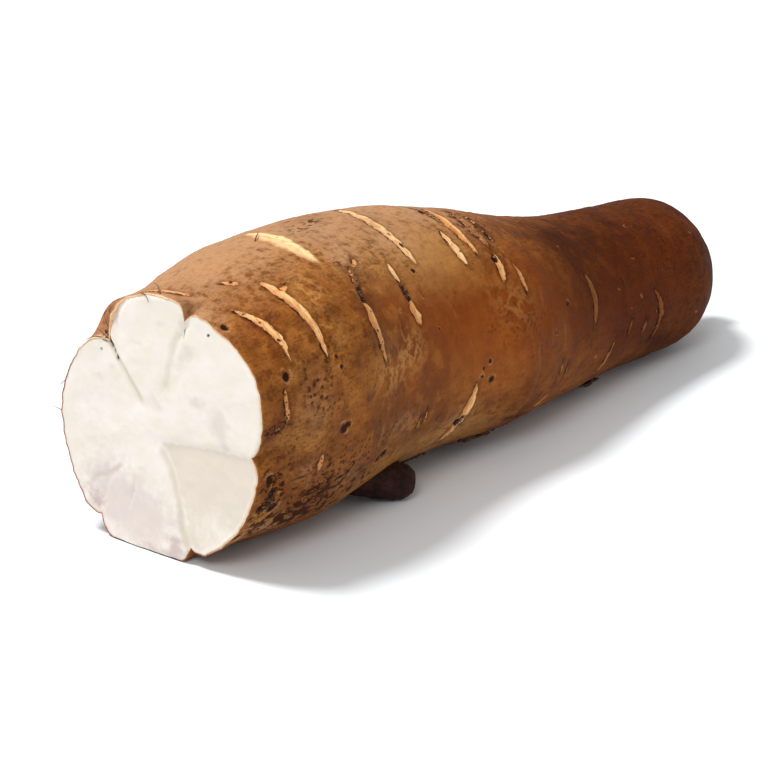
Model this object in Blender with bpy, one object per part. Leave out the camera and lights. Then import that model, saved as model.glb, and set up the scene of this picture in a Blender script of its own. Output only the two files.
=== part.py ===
"""A cassava root lying on a surface, as one grown solid.

It is cut square at its thick end, swells behind the cut, tapers to a blunt shoulder and ends in the
snapped stump of its tail. Furrows between the lobes of flesh notch the cut end and fade along the bark.
The cut stump of one side root grows out of the underside.

Frame: +X runs along the root from the cut end to the tail, +Z is up, and the surface is z = 0.
The origin is the centre of the footprint. Run it with: blender --background --python part.py
"""

import math
from collections import namedtuple

import bmesh
import bpy
from mathutils import Vector

MM = 0.001

# Driving dimensions, in millimetres.
ROOT_LENGTH = 251.0
PRESSED_DEPTH = 0.7

# The rings of the mesh stand closer together at the cut end and over the tail, and the columns at furrows.
CUT_RINGS = (0.0, 2.0, 4.0, 6.5, 9.0, 12.0)
TAIL_START = 224.0
MIDDLE_RINGS = 39
TAIL_RINGS = 12
EVEN_COLUMNS = 52

# Where the root is measured: distance from the cut, radius there, and where the middle of the section
# lies, sideways and above the surface.
Station = namedtuple("Station", "along radius sideways height")
STATIONS = (
    Station(0.0, 35.2, 0.0, 37.5),
    Station(10.0, 35.5, -0.9, 38.4),
    Station(22.0, 37.7, -0.9, 39.3),
    Station(40.0, 38.7, -0.7, 39.6),
    Station(58.0, 38.2, 1.7, 39.2),
    Station(78.0, 37.4, 3.5, 38.2),
    Station(98.0, 36.2, 2.5, 37.0),
    Station(118.0, 33.8, -0.6, 34.7),
    Station(138.0, 30.5, -1.1, 32.0),
    Station(160.0, 27.8, -0.6, 29.3),
    Station(182.0, 25.8, 0.7, 27.1),
    Station(204.0, 24.6, 1.0, 25.1),
    Station(220.0, 24.0, 1.1, 24.3),
    Station(230.0, 21.4, 2.2, 24.0),
    Station(237.0, 17.0, 2.8, 23.2),
    Station(242.0, 11.9, 2.4, 22.1),
    Station(245.5, 7.1, 1.6, 21.4),
    Station(248.0, 5.9, 1.0, 21.4),
    Station(251.0, 5.2, 1.0, 21.4),
)

# The outline of the cut end, as its radius about the pith every 30 degrees, starting at the top and
# turning towards -Y. The furrows are cut into it afterwards.
CUT_RADII = (35.4, 36.9, 40.3, 36.0, 36.2, 36.6, 38.4, 41.3, 37.9, 35.3, 31.6, 32.9)
CUT_SHAPE_REACH = 70.0

# A furrow is a cusp between two lobes of flesh, deepest at the cut.
Furrow = namedtuple("Furrow", "angle depth half_width reach")
FURROWS = (
    Furrow(319.0, 7.0, 24.0, 7.0),
    Furrow(19.5, 4.2, 6.0, 8.0),
    Furrow(92.0, 2.6, 8.0, 14.0),
    Furrow(161.0, 3.0, 8.0, 20.0),
    Furrow(215.0, 3.2, 10.0, 30.0),
)

# A shoulder is a low rounded rise of the skin behind the cut: its middle, its half sizes and its height.
Shoulder = namedtuple("Shoulder", "along angle half_along half_turn height")
SHOULDERS = (
    Shoulder(7.0, 316.0, 5.0, 13.0, 2.3),
    Shoulder(36.0, 333.0, 14.0, 26.0, 0.8),
)

# Broad swells and hollows of the skin: waves round the root, waves along it, height and phase.
Swell = namedtuple("Swell", "round_waves along_waves height phase")
SWELLS = (
    Swell(2, 1.0, 0.5, 0.6),
    Swell(3, 2.0, 0.45, 2.1),
    Swell(1, 4.0, 0.35, 4.0),
    Swell(4, 3.0, 0.3, 1.2),
)

# The stump of the side root, from inside the root to its cut end, and its radius at shares of that length.
STUMP_BASE = (55.0, -12.0, 9.6)
STUMP_END = (73.0, -25.6, 5.5)
STUMP_RADII = ((0.0, 4.6), (0.35, 5.3), (0.55, 5.6), (0.8, 5.4), (0.94, 4.7), (1.0, 3.6))
STUMP_SIDES = 16

BARK_COLOUR = (0.22, 0.09, 0.03, 1.0)
BARK_ROUGHNESS = 0.7
SHARP_ANGLE = math.radians(50.0)


def smooth_step(share):
    share = min(max(share, 0.0), 1.0)
    return share * share * (3.0 - 2.0 * share)


def curve_through(before, first, second, after, share):
    """A smooth curve through evenly spaced values, between the second and the third of four."""
    return 0.5 * (
        2.0 * first
        + (second - before) * share
        + (2.0 * before - 5.0 * first + 4.0 * second - after) * share**2
        + (3.0 * first - before - 3.0 * second + after) * share**3
    )


def station_at(along):
    """Radius, sideways and height of the section at a distance from the cut, on cubics through STATIONS."""
    last = len(STATIONS) - 1
    low = max(i for i in range(last) if STATIONS[i].along <= along)
    near, far = STATIONS[low], STATIONS[low + 1]
    span = far.along - near.along
    share = (along - near.along) / span
    values = []
    for name in ("radius", "sideways", "height"):
        slopes = []
        for i in (low, low + 1):
            left, right = STATIONS[max(i - 1, 0)], STATIONS[min(i + 1, last)]
            slopes.append((getattr(right, name) - getattr(left, name)) / (right.along - left.along) * span)
        a, b = getattr(near, name), getattr(far, name)
        values.append(
            a * (1 + 2 * share) * (1 - share) ** 2
            + slopes[0] * share * (1 - share) ** 2
            + b * share**2 * (3 - 2 * share)
            + slopes[1] * share**2 * (share - 1)
        )
    return values


def cut_radius(angle):
    """Radius of the cut end's outline, before its furrows."""
    count = len(CUT_RADII)
    place = angle / 360.0 * count
    low = math.floor(place)
    around = [CUT_RADII[(low + i) % count] for i in (-1, 0, 1, 2)]
    return curve_through(*around, place - low)


def angle_between(a, b):
    return abs((a - b + 180.0) % 360.0 - 180.0)


def furrow_depth(along, angle):
    depth = 0.0
    for furrow in FURROWS:
        share = 1.0 - angle_between(angle, furrow.angle) / furrow.half_width
        if share > 0.0:
            depth += furrow.depth * share**2 * (1.0 - smooth_step(along / furrow.reach))
    return depth


def shoulder_height(along, angle):
    height = 0.0
    for s in SHOULDERS:
        share = ((along - s.along) / s.half_along) ** 2 + (angle_between(angle, s.angle) / s.half_turn) ** 2
        height += s.height * math.exp(-share)
    return height


def swell_height(along, angle):
    """The swells start a little behind the cut, whose outline is given, and die out at the tail."""
    turn = math.radians(angle)
    run = 2.0 * math.pi * along / ROOT_LENGTH
    height = sum(
        s.height * math.sin(s.round_waves * turn + s.phase) * math.sin(s.along_waves * run + s.phase)
        for s in SWELLS
    )
    return height * smooth_step(along / 30.0) * smooth_step((ROOT_LENGTH - along) / 30.0)


def skin_point(along, angle):
    """A point of the bark, in the construction frame: X from the cut, Z from the surface."""
    radius, sideways, height = station_at(along)
    own_shape = 1.0 - smooth_step(along / CUT_SHAPE_REACH)
    reach = radius * (1.0 + own_shape * (cut_radius(angle) / STATIONS[0].radius - 1.0))
    reach += shoulder_height(along, angle) + swell_height(along, angle) - furrow_depth(along, angle)
    turn = math.radians(angle)
    return Vector((along, sideways - reach * math.sin(turn), height + reach * math.cos(turn))) * MM


def column_angles():
    """Even steps round the root, with three columns of their own at each furrow: its middle and edges."""
    own = [(f.angle + side * f.half_width / 2.0) % 360.0 for f in FURROWS for side in (-1, 0, 1)]
    step = 360.0 / EVEN_COLUMNS
    even = [i * step for i in range(EVEN_COLUMNS)]
    kept = [a for a in even if all(angle_between(a, b) > step / 2.0 for b in own)]
    return sorted(own + kept)


def ring_distances():
    """Where the rings stand, as distances from the cut."""
    middle_start = CUT_RINGS[-1]
    middle_step = (TAIL_START - middle_start) / MIDDLE_RINGS
    tail_step = (ROOT_LENGTH - TAIL_START) / TAIL_RINGS
    middle = [middle_start + middle_step * i for i in range(1, MIDDLE_RINGS + 1)]
    tail = [TAIL_START + tail_step * i for i in range(1, TAIL_RINGS + 1)]
    return [*CUT_RINGS, *middle, *tail]


def sweep(rings):
    """One closed skin through rings of points: a circle extruded from ring to ring, with flat ends."""
    bm = bmesh.new()
    ring = bmesh.ops.create_circle(bm, cap_ends=False, segments=len(rings[0]), radius=MM)["verts"]
    edges = bm.edges[:]
    first_edges = edges
    for vertex, point in zip(ring, rings[0]):
        vertex.co = point
    for points in rings[1:]:
        grown = bmesh.ops.extrude_edge_only(bm, edges=edges)["geom"]
        edges = [g for g in grown if isinstance(g, bmesh.types.BMEdge)]
        new = {g for g in grown if isinstance(g, bmesh.types.BMVert)}
        ring = [next(e.other_vert(v) for e in v.link_edges if e.other_vert(v) in new) for v in ring]
        for vertex, point in zip(ring, points):
            vertex.co = point
    bmesh.ops.holes_fill(bm, edges=first_edges + edges, sides=0)
    bmesh.ops.recalc_face_normals(bm, faces=bm.faces)
    return bm


def press_underside(bm):
    """The lowest skin is pressed flat by the surface, which gives the root its resting face."""
    floor = PRESSED_DEPTH * MM
    for vertex in bm.verts:
        vertex.co.z = max(vertex.co.z, floor)


def bark_material():
    material = bpy.data.materials.new("bark")
    material.use_nodes = True
    shader = material.node_tree.nodes["Principled BSDF"]
    shader.inputs["Base Color"].default_value = BARK_COLOUR
    shader.inputs["Roughness"].default_value = BARK_ROUGHNESS
    shader.inputs["Metallic"].default_value = 0.0
    material.diffuse_color = BARK_COLOUR
    return material


def object_from(bm, name):
    mesh = bpy.data.meshes.new(name)
    bm.to_mesh(mesh)
    bm.free()
    mesh.materials.append(bark_material())
    mesh.set_sharp_from_angle(angle=SHARP_ANGLE)
    built = bpy.data.objects.new(name, mesh)
    bpy.context.scene.collection.objects.link(built)
    return built


def root_body():
    angles = column_angles()
    bm = sweep([[skin_point(along, angle) for angle in angles] for along in ring_distances()])
    press_underside(bm)
    return object_from(bm, "cassava_root")


def side_root_stump():
    """A short round stump that narrows to its cut end. It only shapes the root, by a union."""
    base, end = Vector(STUMP_BASE) * MM, Vector(STUMP_END) * MM
    turn = (end - base).to_track_quat("Z", "Y")
    rings = []
    for share, radius in STUMP_RADII:
        centre = base.lerp(end, share)
        steps = [2.0 * math.pi * i / STUMP_SIDES for i in range(STUMP_SIDES)]
        rings.append([centre + turn @ Vector((math.cos(a), math.sin(a), 0.0)) * radius * MM for a in steps])
    stump = object_from(sweep(rings), "side_root_stump_shape")
    stump.hide_render = True
    stump.display_type = "WIRE"
    return stump


def stand_on_origin(root, stump):
    """Moves both shapes so that the footprint's centre is the origin and the pressed face is z = 0."""
    graph = bpy.context.evaluated_depsgraph_get()
    corners = [Vector(c) for c in root.evaluated_get(graph).bound_box]
    low = Vector(min(c[i] for c in corners) for i in range(3))
    high = Vector(max(c[i] for c in corners) for i in range(3))
    shift = Vector((-(low.x + high.x) / 2.0, -(low.y + high.y) / 2.0, -low.z))
    for shape in (root, stump):
        shape.location = shift


def build():
    for obj in list(bpy.data.objects):
        bpy.data.objects.remove(obj)
    root = root_body()
    stump = side_root_stump()
    union = root.modifiers.new("side_root", "BOOLEAN")
    union.operation = "UNION"
    union.solver = "EXACT"
    union.object = stump
    bpy.context.view_layer.update()
    stand_on_origin(root, stump)


build()
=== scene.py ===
"""The looks of a cassava root that lies on a pale surface, cut square at its thick end.

The shape follows the solid: the same stations, lobes and furrows, with wrinkles, scars, pits and cracks
on top. Distances along the root are counted from the cut, in millimetres. Angles round the root are in
degrees, 0 at the top and 90 on the side that faces -Y. Meshes are in metres, in the frame of the solid.
"""

import math
import random
from collections import namedtuple

import bmesh
import bpy
import numpy as np
from mathutils import Matrix, Vector, noise


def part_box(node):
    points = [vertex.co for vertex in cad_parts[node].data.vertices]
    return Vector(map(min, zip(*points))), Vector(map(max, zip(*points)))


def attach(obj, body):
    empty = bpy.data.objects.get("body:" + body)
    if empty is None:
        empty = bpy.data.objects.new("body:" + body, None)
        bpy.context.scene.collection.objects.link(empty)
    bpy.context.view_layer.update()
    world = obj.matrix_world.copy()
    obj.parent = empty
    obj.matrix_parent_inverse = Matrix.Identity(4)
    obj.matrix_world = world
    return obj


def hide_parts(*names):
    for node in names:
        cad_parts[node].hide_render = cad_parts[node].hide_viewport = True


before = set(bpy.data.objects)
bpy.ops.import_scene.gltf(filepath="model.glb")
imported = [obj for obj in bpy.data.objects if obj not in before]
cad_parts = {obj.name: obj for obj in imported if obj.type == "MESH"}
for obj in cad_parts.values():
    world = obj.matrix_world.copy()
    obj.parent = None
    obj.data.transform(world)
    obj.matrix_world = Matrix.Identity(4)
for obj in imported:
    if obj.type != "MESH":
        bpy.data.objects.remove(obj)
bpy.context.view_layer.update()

MM = 0.001
root_low, root_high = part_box("cassava_root")

# ---------------------------------------------------------------- the grown shape, in millimetres

# A station is the root's section at a distance from the cut: its radius and where its middle is. height is
# counted from the surface that the root lies on.
Station = namedtuple("Station", "along radius sideways height")
STATIONS = (
    Station(0.0, 35.2, 0.0, 37.5),
    Station(10.0, 35.5, -0.9, 38.4),
    Station(22.0, 37.7, -0.9, 39.3),
    Station(40.0, 38.7, -0.7, 39.6),
    Station(58.0, 38.2, 1.7, 39.2),
    Station(78.0, 37.4, 3.5, 38.2),
    Station(98.0, 36.2, 2.5, 37.0),
    Station(118.0, 33.8, -0.6, 34.7),
    Station(138.0, 30.5, -1.1, 32.0),
    Station(160.0, 27.8, -0.6, 29.3),
    Station(182.0, 25.8, 0.7, 27.1),
    Station(204.0, 24.6, 1.0, 25.1),
    Station(220.0, 24.0, 1.1, 24.3),
    Station(230.0, 21.4, 2.2, 24.0),
    Station(237.0, 17.0, 2.8, 23.2),
    Station(242.0, 11.9, 2.4, 22.1),
    Station(245.5, 7.1, 1.6, 21.4),
    Station(248.0, 5.9, 1.0, 21.4),
    Station(251.0, 5.2, 1.0, 21.4),
)
ROOT_LENGTH = STATIONS[-1].along
PRESSED_DEPTH = 0.7

# The cut end's own radii, evenly spaced round it from the top, and how far along the root they fade out.
CUT_RADII = (35.4, 36.9, 40.3, 36.0, 36.2, 36.6, 38.4, 41.3, 37.9, 35.3, 31.6, 32.9)
CUT_SHAPE_REACH = 70.0

# A furrow is a valley between two lobes of the cut end, and fades out at its reach behind the cut.
Furrow = namedtuple("Furrow", "angle depth half_width reach")
FURROWS = (
    Furrow(319.0, 7.0, 24.0, 7.0),
    Furrow(19.5, 4.2, 6.0, 8.0),
    Furrow(92.0, 2.6, 8.0, 14.0),
    Furrow(161.0, 3.0, 8.0, 20.0),
    Furrow(215.0, 3.2, 10.0, 30.0),
)

# A shoulder is a low rounded rise of the skin behind the cut.
Shoulder = namedtuple("Shoulder", "along angle half_along half_turn height")
SHOULDERS = (Shoulder(7.0, 316.0, 5.0, 13.0, 2.3), Shoulder(36.0, 333.0, 14.0, 26.0, 0.8))

# A swell lifts and lowers the skin in so many waves round the root and along it.
Swell = namedtuple("Swell", "round_waves along_waves height phase")
SWELLS = (
    Swell(2, 1.0, 0.5, 0.6),
    Swell(3, 2.0, 0.45, 2.1),
    Swell(1, 4.0, 0.35, 4.0),
    Swell(4, 3.0, 0.3, 1.2),
)


def smooth_step(share):
    """0 up to a share of 0, 1 from a share of 1, and a smooth climb between."""
    share = np.clip(share, 0.0, 1.0)
    return share * share * (3.0 - 2.0 * share)


def from_middle(angle, middle):
    """The signed angle to a direction round the root from another, in degrees."""
    return (angle - middle + 180.0) % 360.0 - 180.0


def turn_between(a, b):
    """The unsigned angle between two directions round the root, in degrees."""
    return np.abs(from_middle(a, b))


def bell(angle, middle, half_turn):
    """1 at a direction round the root, and less and less away from it."""
    return np.exp(-((turn_between(angle, middle) / half_turn) ** 2))


def stations_at(along):
    """Radius, sideways and height at distances from the cut, on cubics through STATIONS."""
    table = np.array(STATIONS)
    marks = table[:, 0]
    low = np.clip(np.searchsorted(marks, along, side="right") - 1, 0, len(marks) - 2)
    span = marks[low + 1] - marks[low]
    share = (along - marks[low]) / span
    before, after = np.maximum(low - 1, 0), np.minimum(low + 2, len(marks) - 1)
    values = []
    for column in (1, 2, 3):
        v = table[:, column]
        slope_in = (v[low + 1] - v[before]) / (marks[low + 1] - marks[before]) * span
        slope_out = (v[after] - v[low]) / (marks[after] - marks[low]) * span
        values.append(
            v[low] * (1 + 2 * share) * (1 - share) ** 2
            + slope_in * share * (1 - share) ** 2
            + v[low + 1] * share**2 * (3 - 2 * share)
            + slope_out * share**2 * (share - 1)
        )
    return values


def radius_at(along):
    """The root's radius at one distance from the cut."""
    return float(stations_at(np.array([along]))[0][0])


def cut_radius(angle):
    """Radius of the cut end's outline, before its furrows: a smooth curve through CUT_RADII."""
    radii = np.array(CUT_RADII)
    step = angle / 360.0 * len(radii)
    low = np.floor(step).astype(int)
    share = step - low
    a, b, c, d = (radii[(low + i) % len(radii)] for i in (-1, 0, 1, 2))
    return 0.5 * (
        2 * b
        + (c - a) * share
        + (2 * a - 5 * b + 4 * c - d) * share**2
        + (3 * b - a - 3 * c + d) * share**3
    )


def furrow_depth(along, angle):
    """How deep the furrows of the cut end are at a place of the skin."""
    depth = np.zeros(np.broadcast(along, angle).shape)
    for f in FURROWS:
        share = np.clip(1.0 - turn_between(angle, f.angle) / f.half_width, 0.0, None)
        depth += f.depth * share**2 * (1.0 - smooth_step(along / f.reach))
    return depth


def swell_height(along, angle):
    """How far the swells lift the skin. They fade out at both ends."""
    turn, run = np.radians(angle), 2.0 * math.pi * along / ROOT_LENGTH
    height = sum(
        s.height * np.sin(s.round_waves * turn + s.phase) * np.sin(s.along_waves * run + s.phase)
        for s in SWELLS
    )
    return height * smooth_step(along / 30.0) * smooth_step((ROOT_LENGTH - along) / 30.0)


def reach_of_skin(along, angle):
    """Distance from the middle of the section to the skin, without its fine marks."""
    radius = stations_at(along)[0]
    own_shape = 1.0 - smooth_step(along / CUT_SHAPE_REACH)
    radius = radius * (1.0 + own_shape * (cut_radius(angle) / STATIONS[0].radius - 1.0))
    for s in SHOULDERS:
        share = ((along - s.along) / s.half_along) ** 2 + (turn_between(angle, s.angle) / s.half_turn) ** 2
        radius = radius + s.height * np.exp(-share)
    return radius + swell_height(along, angle) - furrow_depth(along, angle)


def place(along, angle, reach):
    """Points of the root in millimetres, from the cut and from the surface it lies on."""
    _, sideways, height = stations_at(np.clip(along, 0.0, ROOT_LENGTH))
    turn = np.radians(angle)
    return np.stack(
        [along + 0.0 * turn, sideways - reach * np.sin(turn), height + reach * np.cos(turn)], axis=-1
    )


def settle():
    """The shift, in millimetres, that puts the grown shape where the solid is."""
    along = np.linspace(0.0, ROOT_LENGTH, 500)[:, None]
    angle = np.arange(0.0, 360.0, 1.0)[None, :]
    skin = place(along, angle, reach_of_skin(along, angle))
    middle = (skin[..., 1].min() + skin[..., 1].max()) / 2.0
    solid_middle = (root_low[1] + root_high[1]) / 2.0 / MM
    return np.array([root_low[0] / MM, solid_middle - middle, root_low[2] / MM - PRESSED_DEPTH])


SHIFT = settle()
GROUND = root_low[2] / MM


def in_frame(points):
    """Millimetres of the grown shape to metres of the frame, with the underside pressed flat."""
    moved = points + SHIFT
    moved[..., 2] = np.maximum(moved[..., 2], GROUND)
    return moved * MM


# ---------------------------------------------------------------- fields that shape and colour the bark


def rough(points, size, octaves=3, seed=0.0):
    """Fractal noise between about -1 and 1 at points in millimetres. size is one number or one per axis."""
    scaled = (points / size).reshape(-1, 3) + seed
    make = noise.fractal
    values = [make(p, 0.9, 2.1, octaves) for p in scaled.tolist()]
    return np.array(values).reshape(points.shape[:-1])


# A scar runs round the root where the skin has split. It goes through three places, each a distance along
# and an angle. tone runs from 0, a dark broken crack, to 1, a pale healed split.
Scar = namedtuple("Scar", "start middle end width tone")
SCARS = (
    Scar((45.0, 346.0), (43.0, 6.0), (43.2, 27.0), 6.6, 1.0),
    Scar((82.2, 350.0), (79.0, 19.0), (80.3, 43.0), 3.8, 0.9),
    Scar((20.4, 25.0), (23.4, 40.0), (23.6, 65.0), 2.9, 0.8),
    Scar((27.4, 31.0), (24.8, 32.8), (22.2, 34.6), 1.3, 0.7),
    Scar((8.6, 28.5), (12.4, 44.0), (12.4, 59.8), 2.3, 0.8),
    Scar((57.4, 30.6), (55.0, 33.6), (52.8, 36.4), 1.4, 0.6),
    Scar((53.0, 34.0), (49.6, 39.6), (47.2, 49.8), 2.0, 0.27),
    Scar((47.2, 48.0), (46.6, 57.0), (47.7, 75.0), 2.8, 0.58),
    Scar((67.2, 38.5), (67.0, 43.0), (67.4, 49.0), 2.0, 0.9),
    Scar((67.3, 48.0), (67.6, 53.0), (68.0, 58.0), 2.2, 0.15),
    Scar((67.8, 55.5), (68.2, 61.0), (68.7, 67.5), 3.3, 0.7),
    Scar((100.6, 24.0), (99.9, 36.0), (100.7, 48.0), 2.4, 0.9),
    Scar((109.6, 359.0), (107.5, 19.0), (106.8, 42.5), 3.0, 0.7),
    Scar((117.0, 4.0), (114.6, 22.0), (113.6, 38.0), 3.0, 0.3),
    Scar((113.4, 40.0), (112.4, 48.0), (110.6, 57.5), 2.2, 0.75),
    Scar((118.8, 46.0), (118.8, 55.0), (118.2, 64.0), 1.6, 0.6),
    # The next seven scars, over the tail, have low tones: duller healed skin, partly a painted shadow of
    # another root across the tail.
    Scar((153.4, 54.0), (155.0, 70.0), (151.6, 90.0), 2.5, 0.5),
    Scar((190.6, 77.5), (194.4, 97.0), (191.8, 118.0), 2.3, 0.4),
    Scar((176.5, 90.0), (175.6, 98.0), (174.2, 105.5), 1.2, 0.42),
    Scar((185.1, 96.0), (185.2, 103.0), (184.6, 110.0), 1.6, 0.42),
    Scar((167.6, 101.0), (166.0, 117.0), (164.6, 134.0), 1.7, 0.5),
    Scar((134.8, 101.0), (134.2, 108.0), (133.0, 115.0), 1.1, 0.5),
    Scar((138.2, 104.0), (138.0, 111.0), (137.0, 118.0), 0.9, 0.42),
    Scar((126.6, 130.0), (130.4, 127.4), (133.2, 122.6), 2.8, 0.45),
    Scar((112.0, 131.0), (119.0, 132.6), (127.5, 134.5), 2.0, 0.0),
    Scar((92.2, 100.0), (91.0, 116.0), (87.2, 136.0), 3.7, 0.75),
    Scar((71.4, 102.0), (70.8, 108.0), (69.6, 115.6), 0.9, 0.45),
    Scar((68.8, 105.0), (68.4, 110.0), (67.4, 115.0), 0.8, 0.4),
    Scar((8.6, 67.0), (8.6, 74.0), (9.9, 82.0), 1.3, 0.4),
    Scar((22.3, 100.0), (21.7, 104.5), (21.2, 109.5), 1.9, 0.4),
    Scar((3.6, 346.0), (3.0, 0.0), (5.4, 12.8), 1.5, 0.75),
    Scar((13.6, 14.5), (15.6, 18.5), (16.6, 21.2), 1.3, 0.7),
    Scar((0.2, 84.2), (5.0, 81.6), (10.2, 79.0), 2.0, 0.0),
    Scar((0.2, 81.4), (4.0, 80.2), (8.2, 77.2), 1.5, 0.0),
    Scar((22.8, 37.6), (22.9, 40.0), (22.4, 43.5), 1.6, 0.0),
    Scar((12.0, 45.6), (12.7, 47.6), (12.6, 49.8), 1.7, 0.0),
    Scar((77.0, 146.5), (83.0, 147.6), (90.0, 146.5), 2.6, 0.0),
    Scar((120.2, 6.0), (119.0, 20.0), (117.4, 33.0), 2.2, 0.15),
    Scar((105.4, 352.0), (104.6, 6.0), (104.8, 18.0), 1.2, 0.1),
)

# Pits and knots of the bark: place, radius, and how far they go in or, where depth is below zero, stand
# out.
Pit = namedtuple("Pit", "along angle radius depth")
PITS = (
    Pit(2.7, 35.5, 1.35, 0.35),
    Pit(9.6, 63.0, 1.35, 0.5),
    Pit(27.2, 64.6, 0.94, 0.5),
    Pit(28.3, 66.4, 1.5, -0.35),
    Pit(28.2, 68.6, 0.9, 0.4),
    Pit(15.6, 17.6, 0.68, 0.5),
    Pit(79.4, 24.0, 0.74, 0.5),
    Pit(79.8, 31.6, 0.94, 0.6),
    Pit(22.8, 59.5, 0.68, 0.5),
    Pit(10.4, 33.6, 0.61, 0.4),
    Pit(12.5, 50.0, 0.81, 0.5),
    Pit(46.8, 61.5, 0.68, 0.5),
    Pit(46.2, 67.5, 0.81, 0.5),
    Pit(48.4, 44.5, 1.35, 0.6),
    Pit(47.3, 49.0, 1.49, 0.6),
    Pit(67.4, 51.0, 1.08, 0.5),
    Pit(67.8, 55.0, 1.22, 0.5),
    Pit(112.2, 44.0, 1.35, 0.6),
    Pit(76.4, 44.5, 1.08, 0.3),
    Pit(94.8, 94.0, 0.9, 0.4),
    Pit(98.8, 101.2, 1.5, 0.6),
    Pit(97.2, 91.6, 0.8, 0.4),
    Pit(94.4, 98.0, 0.7, 0.3),
    Pit(89.6, 121.0, 1.8, 0.7),
    Pit(91.4, 118.4, 1.2, 0.5),
    Pit(182.0, 79.5, 0.81, -0.4),
    Pit(54.0, 119.2, 1.9, 0.5),
    Pit(51.4, 120.4, 1.5, 0.4),
    Pit(29.2, 93.6, 1.7, 0.4),
    Pit(31.0, 92.6, 1.2, 0.3),
    Pit(4.6, 104.0, 1.6, 0.5),
    Pit(6.8, 112.0, 1.8, 0.6),
    Pit(8.6, 121.0, 1.89, 0.5),
    Pit(3.6, 118.0, 1.35, 0.4),
)
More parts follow.
